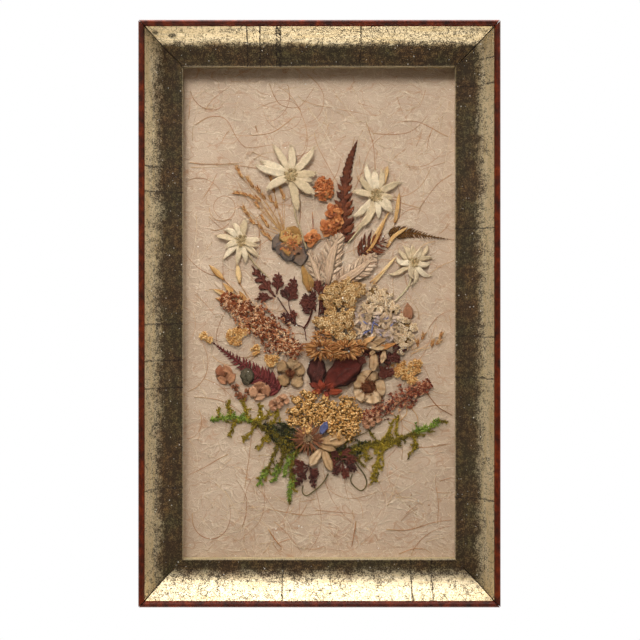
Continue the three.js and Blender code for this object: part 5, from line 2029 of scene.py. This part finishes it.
MOSSES = (
    Moss("moss_left", (
        ([(-56, -56), (-46, -54), (-37, -55)], 3.0, 1), ([(-38, -55), (-27, -60), (-17, -66), (-8, -70)], 2.7, 0),
        ([(-46, -55), (-46.5, -50), (-47, -45)], 2.0, 2), ([(-37, -56), (-38, -50), (-40, -45)], 2.1, 2),
        ([(-31, -58), (-30, -52), (-31, -47)], 2.1, 2), ([(-42, -55), (-45, -60), (-47, -64)], 1.9, 2),
        ([(-33, -58), (-36, -63), (-39, -66)], 2.0, 2), ([(-25, -61), (-28, -66), (-32, -71)], 2.0, 2),
        ([(-26, -60), (-22, -54), (-22, -48)], 2.1, 2), ([(-12, -66), (-14, -70), (-20, -72)], 2.2, 0),
        ([(-19, -66), (-24, -75), (-27, -82)], 2.0, 0), ([(-26, -80), (-29, -84), (-30, -89)], 3.0, 1),
        ([(-17, -67), (-19, -76), (-21, -81)], 1.9, 0), ([(-20, -79), (-22, -83), (-23, -87)], 2.9, 1),
        ([(-10, -70), (-14, -78), (-14, -86)], 2.1, 0), ([(-13, -84), (-15, -91), (-15.5, -97)], 3.1, 1),
        ([(-11, -72), (-17, -79), (-18, -85)], 2.4, 1), ([(-8, -70), (0, -72), (6, -73)], 2.4, 0),
        ([(-51, -55.5), (-52, -52), (-51.5, -49)], 1.5, 2), ([(-24, -63), (-20, -68), (-17, -73)], 2.0, 0),
        ([(-36, -56), (-30, -55), (-24, -52)], 2.0, 2),
        # The branches of coat 3 lie under the golden heads and carry the painted shade.
        ([(-29, -58.5), (-20, -61), (-10, -66)], 3.0, 3), ([(-25, -60), (-17, -65), (-9, -70)], 3.2, 3),
        ([(-27, -63), (-20, -67), (-12, -71)], 2.8, 3), ([(-22, -57), (-14, -61), (-8, -64)], 2.6, 3),
        ([(-12, -68), (-4, -71), (3, -74)], 2.4, 3))),
    Moss("moss_right", (
        ([(6, -74), (16, -72), (27, -68), (38, -66)], 2.8, 0), ([(36, -67), (43, -65), (50, -62)], 2.6, 0),
        ([(49, -62.4), (55, -60), (62.5, -56.5)], 3.4, 1), ([(30, -68), (31, -74), (30, -80), (27, -86)], 2.8, 2),
        ([(47, -63), (50, -66), (50.5, -70), (46, -73.5)], 2.1, 2), ([(31, -68), (36, -62), (39, -55)], 1.8, 2),
        ([(40, -66), (40, -60), (41.5, -53)], 1.6, 2), ([(26, -68), (24, -72), (24.5, -77)], 2.5, 2),
        ([(27, -69), (35, -69), (42, -66)], 3.0, 2),
        ([(36, -66), (33, -72), (33.5, -79)], 1.6, 2), ([(30, -67), (26, -61), (25, -57)], 1.3, 0),
        ([(18, -71), (20, -76), (24, -80)], 1.6, 0), ([(4, -72), (10, -68), (18, -66)], 2.0, 0),
        # The branches of coat 3 lie under the golden heads and carry the painted shade.
        ([(3, -72), (13, -71), (25, -67)], 2.8, 3), ([(8, -75), (16, -75), (23, -71)], 2.2, 3))),
)


@dataclass
class Everlastings:
    """The rust-orange everlasting flowers: buds of papery bracts and a round seed head.

    Attributes:
        buds: Each bud's middle, width, height and lean in degrees.
        head: The seed head's middle and its half width and half height.
    """

    buds: tuple[tuple[Spot, float, float, float], ...] = (
        ((7.8, 51.6), 7.4, 9.0, 70), ((9.0, 46.4), 7.0, 6.6, 20), ((5.0, 43.8), 9.4, 7.8, 160),
        ((-3.6, 38.6), 7.8, 6.6, 120))
    head: tuple[float, float, float, float] = (2.6, 64.0, 5.0, 6.3)

    def build(self) -> None:
        """Builds the buds and the seed head."""
        rng = random.Random(SEED + 3)
        coats = [RUST_PAPER.build()]
        draft = Draft()
        floor = bed("orange_buds") + 0.3
        for centre, wide, tall, lean in self.buds:
            for ring, (share, count) in enumerate(((1.0, 6), (0.7, 4), (0.4, 3))):
                for i in range(count):
                    angle = 360 * i / count + 24 * ring + rng.uniform(-10, 10)
                    around = math.radians(angle - lean + 90)
                    reach = share * (wide * abs(math.cos(around)) + tall * abs(math.sin(around))) / 2
                    draft.leaf(polar(centre, 0.2, angle), polar(centre, reach, angle), 2.0 * share**0.5,
                               floor + 0.4 * ring, Outline.OVAL, bow=0.1, arch=0.45, end=rng.uniform(-0.2, 0.2),
                               cup=0.35, tone=rng.random())
        draft.tube(raised(smooth_curve([(-3.4, 38.6), (-3.0, 45), (-3.4, 52)], 14), floor, floor), 0.3, 0.2, tone=0.2)
        draft.piece("everlasting_buds", coats, "orange_petal", ("orange_buds",))
        draft = Draft()
        floor = bed("orange_seed_head")
        x, z, half_width, half_height = self.head
        draft.blob((x, z, floor + 0.5), (half_width * 0.9, half_height * 0.9, 1.3), tone=0.15, template=BALL, run=1.0,
                   lump=0.05)
        for _ in range(150):
            radius, angle = math.sqrt(rng.random()), rng.uniform(0, 360)
            u, v = polar((0, 0), radius, angle)
            draft.blob((x + half_width * u, z + half_height * v, floor + 0.4 + 1.5 * math.sqrt(1 - radius**2 * 0.9)),
                       (1.1, 0.75, 0.3), angle + rng.gauss(0, 35), rng.uniform(5, 30), tone=0.7 * rng.random())
        draft.piece("everlasting_seed_head", coats, "orange_petal", ("orange_seed_head",))


@dataclass
class Grasses:
    """The dry grasses: a fan of spikelets, oat capsules and straw blades.

    Attributes:
        spikelets: Where each spikelet of the fan stands, and its direction.
        capsules: Each oat capsule's base and tip.
        blades: Each straw blade's route and half width.
    """

    spikelets: tuple[tuple[float, float, float], ...] = (
        (-40.9, 72.2, 118), (-39.3, 69.5, 125), (-35.6, 67.2, 118), (-33.6, 64.6, 122), (-30.4, 62.2, 120),
        (-27.8, 58.6, 118), (-40.2, 61.5, 165), (-36.8, 60.7, 160), (-33.0, 59.1, 150), (-29.9, 57.6, 140),
        (-24.2, 67.2, 105), (-22.9, 62.2, 108), (-24.2, 57.0, 112), (-35.6, 49.6, 130), (-33.0, 45.8, 135),
        (-29.2, 43.3, 135), (-26.8, 39.5, 130), (-24.2, 37.4, 130), (-28.0, 47.0, 118), (-26.0, 43.9, 118),
        (-19.1, 62.1, 108), (-17.9, 58.3, 105), (-37.4, 52.4, 130), (-21.6, 54.0, 110), (-30.6, 54.0, 125),
        (53.3, -14.2, 70), (62.1, -13.7, 60), (58.5, -17.8, 80), (51.2, -17.8, 95), (60.4, -16.5, 40))
    capsules: tuple[tuple[Spot, Spot], ...] = (
        ((-49.1, 17.0), (-57.0, 24.9)), ((-41.0, 15.0), (-42.4, 25.9)), ((-43.4, 8.7), (-49.7, 15.4)),
        ((-47.2, 8.7), (-54.9, 12.3)), ((-40.3, 7.1), (-49.7, 8.2)), ((-46.5, 5.6), (-53.8, 7.6)),
        ((-36.7, 4.1), (-41.3, 11.3)), ((-36.5, 3.0), (-44.5, 2.0)))
    blades: tuple[tuple[Path, float], ...] = (
        ([(20.3, 25.5), (28.8, 36.5), (37.2, 55.0)], 0.8), ([(35.0, 33.5), (39, 39.5), (46.0, 44.2)], 1.0),
        ([(28.0, 14.5), (34, 22), (40.3, 29.5)], 0.8), ([(39.4, 46.5), (40.6, 54), (41.6, 62.2)], 1.0),
        ([(33.0, 64.5), (34.6, 71.4), (35.6, 76.0)], 1.2), ([(24.2, 33.0), (31, 43.5), (37.2, 53.3)], 0.6),
        ([(10.6, 43.5), (12.2, 49.2)], 0.6), ([(26.5, 15.5), (31, 19.5), (36.5, 25.0)], 0.5))

    def build(self) -> None:
        """Builds the three pieces."""
        rng = random.Random(SEED + 4)
        straw, seed = STRAW.build(), RUSTY_SEED.build()
        draft = Draft()
        floor = bed("grass_fan") + 0.3
        for x, z, turn in self.spikelets:
            root = (-17.0, 40.0) if x < 0 else (48.0, -21.0)
            root = (root[0] + rng.uniform(-1.5, 1.5), root[1] + rng.uniform(-2, 2))
            middle = ((x + root[0]) / 2 + rng.uniform(-1, 2), (z + root[1]) / 2)
            draft.tube(raised(smooth_curve([root, middle, (x, z)], 14), floor, floor), 0.13, 0.07, sides=4,
                       tone=rng.random())
            for k in range(4):
                at = polar((x, z), 0.9 * k, turn)
                for side in (-1, 1):
                    tip = polar(at, rng.uniform(1.5, 2.5), turn + side * rng.uniform(12, 32))
                    draft.leaf(at, tip, 0.34, floor, Outline.OVAL, end=0.15, thick=0.16, coat=1,
                               tone=rng.random(), steps=6)
                    draft.tube(np.array([(*tip, floor + 0.15), (*polar(tip, 1.6, turn + side * 14), floor + 0.3)]),
                               0.06, 0.03, sides=3, tone=0.8)
        draft.piece("grass_spikelets", [straw, seed], "straw", ("grass_fan",))
        draft = Draft()
        floor = bed("oat_sprig") + 0.5
        for base, tip in self.capsules:
            for shift, half in ((-0.16, 1.05), (0.16, 1.0)):
                draft.leaf((base[0] + shift, base[1]), (tip[0] - shift, tip[1]), half, floor, Outline.LANCE,
                           thick=0.42, bow=shift * 0.3, arch=0.3, tone=rng.random(), steps=14)
            middle = ((base[0] - 30) / 2, (base[1] - 2) / 2)
            draft.tube(raised(smooth_curve([base, middle, (-27, -4)], 14), floor - 0.2, floor - 0.3), 0.2, 0.12,
                       sides=4, tone=0.3)
        draft.piece("oat_capsules", [straw, seed], "straw", ("oat_sprig",))
        draft = Draft()
        floor = bed("straw_blade") + 0.5
        for route, half in self.blades:
            line = raised(smooth_curve(route, 20), floor, floor + 0.4, 0.3)
            draft.blade(line, half * leaf_widths(Outline.STRAP, 20), 0.14, cup=0.3, tone=rng.random())
        draft.piece("straw_blades", [straw], "straw", ("straw_blade",))


@dataclass
class Pansy:
    """A faded pansy: crumpled slate-blue petals, amber ones above them and a rusty throat.

    Attributes:
        centre: Its middle.
        petals: Each petal's direction, length, half width and coat.
    """

    centre: Spot = (-14.4, 35.6)
    petals: tuple[tuple[float, float, float, int], ...] = (
        (166, 10.0, 5.4, 0), (206, 8.8, 4.0, 0), (112, 8.0, 4.0, 1), (78, 9.6, 4.4, 1), (296, 12.6, 4.4, 0),
        (258, 9.6, 3.8, 0), (344, 9.4, 4.0, 0), (34, 6.4, 3.2, 1), (232, 7.0, 3.0, 1))

    def build(self) -> None:
        """Builds the flower."""
        rng = random.Random(SEED + 5)
        draft = Draft()
        floor = bed("pansy")
        for number, (degrees, length, half, coat) in enumerate(self.petals):
            draft.leaf(polar(self.centre, 0.6, degrees), polar(self.centre, length, degrees), half,
                       floor + 0.3 + 0.14 * (number % 3), Outline.ROUND, bow=rng.uniform(-0.1, 0.1),
                       arch=0.05, end=rng.uniform(0, 0.1), cup=0.0, twist=rng.uniform(-0.04, 0.04),
                       thick=0.05, ragged=0.1, coat=coat, tone=rng.random(), steps=20)
        for _ in range(70):
            angle = rng.uniform(0, 360)
            spot = polar(self.centre, 6.4 * rng.random(), angle)
            draft.blob((spot[0], spot[1] + 0.8, floor + 0.74), (1.3 * rng.uniform(0.5, 1), 0.34, 0.06),
                       angle + rng.gauss(0, 16), coat=2, tone=rng.random())
        draft.piece("pansy_petals", [SLATE.build(), AMBER.build(), RUST_PAPER.build()], "slate_petal", ("pansy",))


@dataclass
class RayFlowers:
    """The flowers made of thin rays: the tan chrysanthemums, the brown daisy and the limp lilac bells.

    Attributes:
        mops: Each chrysanthemum's middle, half width, half height and number of rays.
        daisy: The brown daisy's middle.
        bells: Each lilac bell's place and direction.
        streaks: The blue streaks, as base and tip.
    """

    mops: tuple[tuple[Spot, float, float, int], ...] = (
        ((1.0, -18.6), 10.5, 6.4, 190), ((14.0, -19.0), 9.5, 6.0, 160), ((1.6, -11.5), 6.4, 3.6, 50),
        ((7.5, -20.5), 8.0, 4.8, 90), ((21.0, -17.5), 5.0, 4.0, 50))
    daisy: Spot = (-5.5, -65.2)
    bells: tuple[tuple[float, float, float], ...] = (
        (24.5, -5.5, 200), (28.5, -9.5, 250), (22.0, -9.0, 300), (31.5, -4.0, 20), (34.5, -8.5, 340),
        (27.0, -1.0, 100), (20.5, -3.0, 160), (37.0, -3.5, 50), (32.5, -12.5, 290), (38.5, -11.0, 320))
    streaks: tuple[tuple[Spot, Spot], ...] = (
        ((27, -12), (29.5, -1.5)), ((22, -11.5), (27.5, -8.5)), ((30, -9.5), (32.5, -12.5)),
        ((36.5, -8), (38.5, -5.0)), ((25.5, -6), (22, -3.5)), ((27.5, -5), (31, -7)), ((34.5, -5), (36, -1.5)))

    def build(self) -> None:
        """Builds the three pieces."""
        rng = random.Random(SEED + 6)
        draft = Draft()
        floor = bed("chrysanthemums")
        for centre, wide, tall, count in self.mops:
            for _ in range(count):
                angle = rng.uniform(0, 360)
                reach = rng.uniform(0.55, 1.05)
                u, v = polar((0, 0), reach, angle)
                tip = (centre[0] + wide * u, centre[1] + tall * v)
                base = (centre[0] + wide * u * 0.35 + rng.uniform(-1, 1), centre[1] + tall * v * 0.3)
                draft.leaf(base, tip, 0.36, floor + rng.uniform(0.3, 1.2), Outline.FLOSS, bow=rng.uniform(-0.14, 0.14),
                           arch=0.4, end=rng.uniform(-0.5, 0.3), cup=0.4, tone=rng.random(), steps=7)
        draft.piece("chrysanthemum_rays", [TAN_FLOSS.build()], "golden_floret", ("chrysanthemums",))
        draft = Draft()
        floor = bed("daisy_brown")
        for i in range(34):
            degrees = 360 * i / 34 + rng.uniform(-6, 6)
            draft.leaf(polar(self.daisy, 1.4, degrees), polar(self.daisy, rng.uniform(7.2, 10.4), degrees), 0.5,
                       floor + 0.8, Outline.FLOSS, bow=rng.uniform(-0.07, 0.07), end=rng.uniform(-0.2, 0.3), cup=0.3,
                       tone=rng.random())
        for _ in range(100):
            radius = 2.7 * math.sqrt(rng.random())
            draft.blob((*polar(self.daisy, radius, rng.uniform(0, 360)), floor + 1.0 + 0.5 * (1 - radius / 2.7)),
                       (0.3, 0.26, 0.3), rng.uniform(0, 180), coat=1, tone=rng.random())
        draft.piece("daisy_rays", [DAISY.build(), KHAKI.build()], "brown_frond", ("daisy_brown",))
        draft = Draft()
        floor = bed("lilac_flowers")
        for x, z, turn in self.bells:
            for k in range(6):
                angle = turn + 55 * (k - 2.5) + rng.uniform(-14, 14)
                draft.leaf((x, z), polar((x, z), rng.uniform(3.4, 6.2), angle), rng.uniform(0.6, 1.0),
                           floor + 0.3 + 0.12 * k, Outline.LANCE, bow=0.08, arch=0.4, end=rng.uniform(-0.3, 0.5),
                           cup=0.4, twist=rng.uniform(-0.6, 0.6), tone=rng.random())
        for base, tip in self.streaks:
            draft.leaf(base, tip, 0.42, floor + 1.0, Outline.LANCE, bow=0.06, end=0.3, coat=1, tone=rng.random())
        draft.piece("lilac_bells", [LILAC.build(), BLUE.build()], "slate_petal", ("lilac_flowers",))


@dataclass
class OpenFlowers:
    """The small open flowers: a cream one, a khaki one and two terracotta ones with their buds.

    Attributes:
        buds: The places of the terracotta buds.
        faded: The places of the faint pinkish florets beside the golden heads.
    """

    buds: tuple[Spot, ...] = ((-43.4, -38.6), (-36.6, -40.7), (-41.8, -42.8), (-39.0, -44.0))
    faded: tuple[Spot, ...] = ((-18.8, -45.4), (-22.5, -47.6), (25.8, -57.0), (28.6, -55.0))

    def build(self) -> None:
        """Builds each flower as its own piece."""
        eye = DARK_EYE.build()
        terracotta, pale = (tuple((turn + 90 * i, 5.0 + 0.8 * (i % 2), 3.1) for i in range(4)) for turn in (60, 96))
        for flower, finish, slot in (
            (OpenFlower("flower_cream", (25.7, -38.6), (
                (84, 9.0, 4.7), (152, 8.6, 4.6), (216, 8.6, 4.6), (284, 9.0, 4.7), (354, 9.0, 4.7)),
                4.3, 0.12, 0.04, 0.6, Outline.BROAD), CREAM_PETAL, "cream_petal"),
            (OpenFlower("flower_khaki", (-14.8, -31.4), (
                (72, 8.2, 3.7), (14, 8.0, 3.7), (146, 8.4, 3.6), (310, 9.0, 3.4), (226, 8.0, 3.5)),
                2.6, 0.2, 0.1), KHAKI, "moss"),
            (OpenFlower("terracotta_left", (-48.6, -32.4), terracotta, 0.9, 0.02, 0.12), TERRACOTTA, "rose_floret"),
            (OpenFlower("terracotta_right", (-30.6, -40.6), pale, 0.9, 0.02, 0.12), PALE_TERRACOTTA, "rose_floret"),
        ):
            draft = Draft()
            floor = bed(flower.name)
            flower.draw(draft, floor)
            if flower.name == "terracotta_left":
                draft.tube(raised(smooth_curve([(-48, -35), (-44, -39.5), (-40, -42)], 14), floor + 0.3, floor + 0.3),
                           0.3, coat=1, tone=0.3)
                for bud in self.buds:
                    OpenFlower("bud", bud, ((40, 2.2, 1.2), (160, 2.0, 1.2), (280, 2.2, 1.2)), 0.7).draw(draft, floor)
            if flower.name == "terracotta_right":
                for x, z in self.faded:
                    OpenFlower("faded", (x, z), tuple((80 * i, 3.6, 2.0) for i in range(4)), 0.5).draw(draft, floor)
            draft.piece(flower.name + "_petals", [finish.build(), eye], slot, (flower.name,))


@dataclass(frozen=True)
class PetalGroup:
    """Single petals laid together as one piece.

    Attributes:
        name: The piece's name.
        slot: The slot that its finish belongs to.
        node: The solid on whose bed it lies.
        lift: How far above that bed.
        coats: Its finishes.
        petals: Each petal's base, tip, half width, outline and coat.
        replaced: The solid it stands for, if there is one.
    """

    name: str
    slot: str
    node: str
    lift: float
    coats: tuple[DriedFinish, ...]
    petals: tuple[tuple[Spot, Spot, float, Outline, int], ...]
    replaced: str = ""

    def build(self) -> None:
        """Builds the piece."""
        rng = random.Random(self.name)
        draft = Draft()
        for base, tip, half, outline, coat in self.petals:
            draft.leaf(base, tip, half, bed(self.node) + self.lift, outline, bow=rng.uniform(-0.05, 0.05), arch=0.35,
                       end=0.15, thick=0.07, cup=0.2, ragged=0.08, coat=coat, tone=rng.random(), steps=20)
        draft.piece(self.name, [finish.build() for finish in self.coats], self.slot,
                    (self.replaced,) if self.replaced else ())


ROUND, OVAL, LANCE, STRAP = Outline.ROUND, Outline.OVAL, Outline.LANCE, Outline.STRAP
PETAL_GROUPS = (
    PetalGroup("mustard_petal", "straw", "pansy", -0.2, (AMBER,), (
        ((-4.6, 11.0), (-8.9, 26.0), 2.2, LANCE, 0), ((-3.0, 13.0), (-5.6, 21.0), 1.4, LANCE, 0))),
    PetalGroup("plum_petal", "maroon_leaf", "petal_plum", 0.3, (PLUM,), (
        ((-0.8, -38.5), (-0.6, -23.0), 4.9, ROUND, 0),), "petal_plum"),
    PetalGroup("red_petals", "maroon_leaf", "petal_red", 0.3, (RED_PETAL, BRICK), (
        ((3.5, -38.5), (21.5, -23.0), 6.8, ROUND, 0), ((9.0, -37.5), (19.5, -29.5), 4.0, ROUND, 0),
        ((2.5, -40), (-5.2, -36.6), 1.7, OVAL, 1), ((2.5, -40.5), (0.4, -34.6), 1.8, OVAL, 1),
        ((3.5, -40), (9.2, -36.6), 1.8, OVAL, 1), ((2.8, -40.5), (5.0, -45.5), 1.5, OVAL, 1),
        ((2.0, -41), (-4.0, -41.0), 1.5, OVAL, 1), ((3.6, -41), (12.5, -40.5), 1.8, OVAL, 1)), "petal_red"),
    PetalGroup("cream_petals", "cream_petal", "daisy_brown", 0.7, (CREAM_PETAL,), (
        ((0.5, -66.5), (14.6, -66.0), 3.3, ROUND, 0), ((0.5, -69.0), (9.0, -71.0), 2.0, OVAL, 0),
        ((1.4, -70.5), (-4.6, -79.4), 2.6, ROUND, 0), ((2.4, -70), (6.6, -82.0), 2.3, ROUND, 0),
        ((4.0, -66.0), (11.4, -62.4), 1.9, OVAL, 0))),
    PetalGroup("blue_petal", "slate_petal", "yarrow_golden_left", 2.5, (BLUE,), (
        ((1.0, -62.6), (4.2, -56.0), 2.0, OVAL, 0),)),
    PetalGroup("tan_petals", "golden_floret", "chrysanthemums", 0.8, (KHAKI, CREAM_PETAL, TAN_FLOSS), (
        ((21.5, -15.5), (37.0, -19.0), 1.9, LANCE, 0), ((26.5, -17.0), (35.0, -13.0), 1.7, LANCE, 0),
        ((22.0, -16.0), (29.0, -12.0), 1.5, LANCE, 2), ((30.0, -18.0), (40.0, -15.5), 1.5, LANCE, 2),
        ((28.4, -20.8), (28.0, -30.0), 2.6, ROUND, 1), ((33.6, -19.5), (32.0, -26.0), 1.7, OVAL, 1),
        ((26.0, -21.5), (29.0, -19.0), 1.2, OVAL, 1))),
    PetalGroup("amber_bits", "orange_petal", "yarrow_mauve", 0.3, (PALE_TERRACOTTA,), (
        ((46.4, -3.4), (46.0, 5.4), 2.9, LANCE, 0), ((43.6, -4.0), (42.6, 1.0), 1.3, LANCE, 0))),
    PetalGroup("grey_leaf", "moss", "fern_crimson", 1.0, (GREY_LEAF,), (
        ((-37.6, -37.4), (-37.4, -28.4), 3.6, ROUND, 0), ((-35.0, -36.0), (-36.0, -30.0), 2.4, ROUND, 0))),
)


@dataclass
class Tendrils:
    """The thin dark tendrils that curl below the bouquet, and a few loose stems.

    Attributes:
        routes: Each one's route, radius and coat.
    """

    routes: tuple[tuple[Path, float, int], ...] = (
        ([(18.5, -77.1), (23.7, -84.4), (24.7, -89.1), (22.1, -92.2), (18.5, -90.1), (16.5, -87), (17.4, -83.5)],
         0.38, 0),
        ([(4.9, -83.4), (2.3, -88), (-2.3, -92.2), (-6.5, -94.8), (-8.6, -92.7), (-8.2, -89.5)], 0.36, 0),
        ([(44.0, -44.5), (45.5, -52), (40.2, -58), (37.4, -64.6)], 0.22, 1),
        ([(48.0, -49.5), (51, -54), (51.5, -60)], 0.2, 1),
        ([(60.2, 37), (55, 35.5), (51, 31)], 0.14, 1),
        ([(70.0, 27), (62, 23.5), (54, 17)], 0.12, 1),
        ([(10.5, -73), (16, -66), (26, -61), (35, -52)], 0.26, 0))

    def build(self) -> None:
        """Builds them as one piece on the paper."""
        draft = Draft()
        _, paper = node_heights("paper_sheet")
        for route, radius, coat in self.routes:
            path = raised(smooth_curve(route, 40), paper + 0.75, paper + 0.65, 0.2)
            draft.tube(path, radius, radius * 0.75, sides=6, coat=coat, tone=0.5)
        draft.piece("curled_tendrils", [SEAWEED.build(), STRAW.build()], "moss")


@dataclass
class Bouquet:
    """All the pressed specimens, from the paper up.

    Attributes:
        clumps: The loose yellow florets, as (x, z, spread, how many).
    """

    clumps: tuple[tuple[float, float, float, int], ...] = (
        (-44, -12.6, 4.2, 40), (-39, -8.5, 3.2, 24), (-60.6, -11.1, 1.6, 7), (-57.4, -13.7, 1.6, 7),
        (42, -29.0, 4.2, 34), (50, -27.5, 3.4, 24), (47, -33.5, 3.2, 20), (-25.0, -24.0, 3.4, 26),
        (-33.0, -20.0, 2.6, 16))

    def build(self) -> None:
        """Builds every specimen."""
        stalks = DARK_STALK.build()
        wool = [WOOL.build(), BUTTON.build(), PALE_STEM.build()]
        for group, coats in (
            (MOSSES, [finish.build() for finish in (MOSS, FRESH_MOSS, FADED_MOSS, SHADE_MOSS)]),
            (SILVER_LEAVES, [SILVER.build()]), (CUT_LEAVES, [MAROON.build()]), (EDELWEISS, wool),
        ):
            for specimen in group:
                specimen.build(coats)
        for fern, finish in FERNS:
            fern.build([finish.build()])
        for specimens, stalk in ((PANICLES, RED_STALK.build()), (FLORET_HEADS, stalks)):
            for specimen, finish in specimens:
                specimen.build([finish.build(), stalk])
        for specimens in (Grasses(), OpenFlowers(), RayFlowers(), Pansy(), Everlastings(), Tendrils(), *PETAL_GROUPS):
            specimens.build()
        self.yellow_florets(stalks)

    def yellow_florets(self, stalks: bpy.types.Material) -> None:
        """Builds the small yellow florets beside the heather and above the right panicle.

        Args:
            stalks: The finish of their stalks.
        """
        rng = random.Random(SEED + 10)
        draft = Draft(rng)
        _, paper = node_heights("paper_sheet")
        head = FloretHead("yellow_florets", (0, 0), 1, 1, 1, 1.0)
        for x, z, spread, count in self.clumps:
            for _ in range(count):
                spot = polar((x, z), spread * math.sqrt(rng.random()), rng.uniform(0, 360))
                head.floret(draft, (*spot, paper + 0.8 + rng.uniform(0, 0.7)), rng.uniform(0.95, 1.65))
        draft.tube(raised(smooth_curve([(-60, -11), (-54, -14), (-50, -15), (-44, -13)], 16), paper + 0.7,
                          paper + 0.7), 0.16, coat=1)
        draft.piece("yellow_florets", [ORANGE_YARROW.build(), stalks], "golden_floret")


# ------------------------------------------------------------------------------------------------ light and camera
@dataclass
class Studio:
    """A softbox above the picture, a bright room round it that the gilt reflects, a pale floor and the camera.

    Attributes:
        key_turn: The softbox's direction to the left of straight ahead, in degrees.
        key_rise: Its height above straight ahead, in degrees.
        key_away: Its distance.
        key_side: The length of its side.
        key_power: Its power in watts.
        room_power: The brightness of the room, and ceiling_power of its ceiling.
        wall_tones: Its colours from the floor up.
        floor_drop: How far the floor lies under the picture's middle, and floor_radius its radius.
        camera_away: The camera's distance from the front of the frame, camera_right and camera_up its place.
        lens: The focal length, and sensor the sensor's width.
        view: The view's size in pixels, and picture_at where the picture's middle falls in it.
    """

    key_turn: float = 12.0
    key_rise: float = 37.5
    key_away: float = 900.0
    key_side: float = 225.0
    key_power: float = 3.1
    room_power: float = 4.9
    ceiling_power: float = 6.9
    wall_tones: Stops = ((0.0, "#7c766a"), (0.3, "#625c52"), (0.5, "#554f47"), (0.72, "#b5aea2"), (1.0, "#ffffff"))
    floor_drop: float = 1400.0
    floor_radius: float = 1500.0
    camera_away: float = 497.6
    camera_right: float = -8.0
    camera_up: float = 13.0
    lens: float = 56.25
    sensor: float = 36.0
    view: int = 640
    picture_at: tuple[float, float] = (319.5, 313.7)

    def build(self) -> None:
        """Sets the light, the floor and the camera."""
        self.world()
        self.key()
        self.floor()
        self.camera()
        bpy.context.scene.view_settings.view_transform = "Standard"
        bpy.context.scene.view_settings.look = "None"

    def world(self) -> None:
        """Makes the surroundings: white to the camera, bright above and below, dark in front of the picture."""
        world = bpy.data.worlds.new("studio")
        bpy.context.scene.world = world
        add = new_tree(world)
        axes = add("SeparateXYZ", {"Vector": add("TexCoord", out="Generated")}).node.outputs
        ahead = add("Math", {0: axes["Y"], 1: -1.0}, operation="MULTIPLY")
        open_room = add("MapRange", {"Value": ahead, "From Min": 0.26, "From Max": 0.5, "To Min": 1.0, "To Max": 0.0})
        # The room is a little brighter at the right, so the level leans that way.
        height = add("Math", {0: axes["X"], 1: 0.1, 2: axes["Z"]}, operation="MULTIPLY_ADD")
        level = add("MapRange", {"Value": height, "From Min": -1.0})
        walls = add("ValToRGB", {"Fac": level}, stops=self.wall_tones)
        room = add("Mix", {MIX_FACTOR: open_room, MIX_A: linear("#1a1612"), MIX_B: walls}, MIX_OUT, data_type="RGBA")
        # The ceiling is the brightest: it burns out the gilt of the bottom rail.
        strength = add("MapRange", {
            "Value": level, "From Min": 0.75, "To Min": self.room_power, "To Max": self.ceiling_power})
        lit = add("Background", {"Color": room, "Strength": strength})
        seen = add("Background", {"Color": linear("#ffffff"), "Strength": 1.0})
        mix = add("MixShader", {0: add("LightPath", out="Is Camera Ray"), 1: lit, 2: seen})
        add("OutputWorld", {"Surface": mix})

    def key(self) -> None:
        """Hangs the softbox and points it at the picture's middle."""
        light = bpy.data.lights.new("softbox", "AREA")
        light.shape = "SQUARE"
        light.size = self.key_side * MM
        light.energy = self.key_power
        light.color = (1.0, 0.975, 0.94)
        turn, rise = math.radians(self.key_turn), math.radians(self.key_rise)
        towards = Vector((-math.sin(turn) * math.cos(rise), -math.cos(turn) * math.cos(rise), math.sin(rise)))
        obj = bpy.data.objects.new("softbox", light)
        middle = Vector((0, -FRAME_DEPTH * MM / 2, CENTRE_Z * MM))
        obj.location = middle + towards * self.key_away * MM
        obj.rotation_mode = "QUATERNION"
        obj.rotation_quaternion = towards.to_track_quat("Z", "Y")
        bpy.context.scene.collection.objects.link(obj)

    def floor(self) -> None:
        """Lays a plain pale floor far under the picture."""
        bpy.ops.mesh.primitive_circle_add(vertices=96, radius=self.floor_radius * MM, fill_type="NGON")
        obj = bpy.context.active_object
        obj.name = "floor"
        obj.location = Vector((0, 0, (CENTRE_Z - self.floor_drop) * MM))
        # Matt plaster: an even pale ground without any glint.
        finish = PlainFinish("matt_plaster", ((0.2, "#dedbd5"), (0.8, "#e6e3dd")), 60.0, 0.9, 0.1)
        obj.data.materials.append(finish.build())

    def camera(self) -> None:
        """Stands the camera square to the picture, with the shift that keeps the frame where it was framed."""
        data = bpy.data.cameras.new("camera")
        data.sensor_width = self.sensor
        data.lens = self.lens
        scale = self.camera_away * self.sensor / self.lens / self.view
        middle = self.view / 2
        data.shift_x = (middle - self.camera_right / scale - self.picture_at[0]) / self.view
        data.shift_y = (self.picture_at[1] - middle - self.camera_up / scale) / self.view
        obj = bpy.data.objects.new("camera", data)
        obj.location = Vector((self.camera_right, -FRAME_DEPTH - self.camera_away, CENTRE_Z + self.camera_up)) * MM
        obj.rotation_euler = (math.radians(90), 0, 0)
        bpy.context.scene.collection.objects.link(obj)
        bpy.context.scene.camera = obj


def main() -> None:
    """Builds the frame, the paper, the bouquet and the studio, in that order."""
    logging.basicConfig(level=logging.INFO, format="%(name)s: %(message)s")
    Moulding().build()
    PaperSheet().build()
    Bouquet().build()
    Glazing().build()
    Studio().build()


if __name__ == "__main__":
    main()
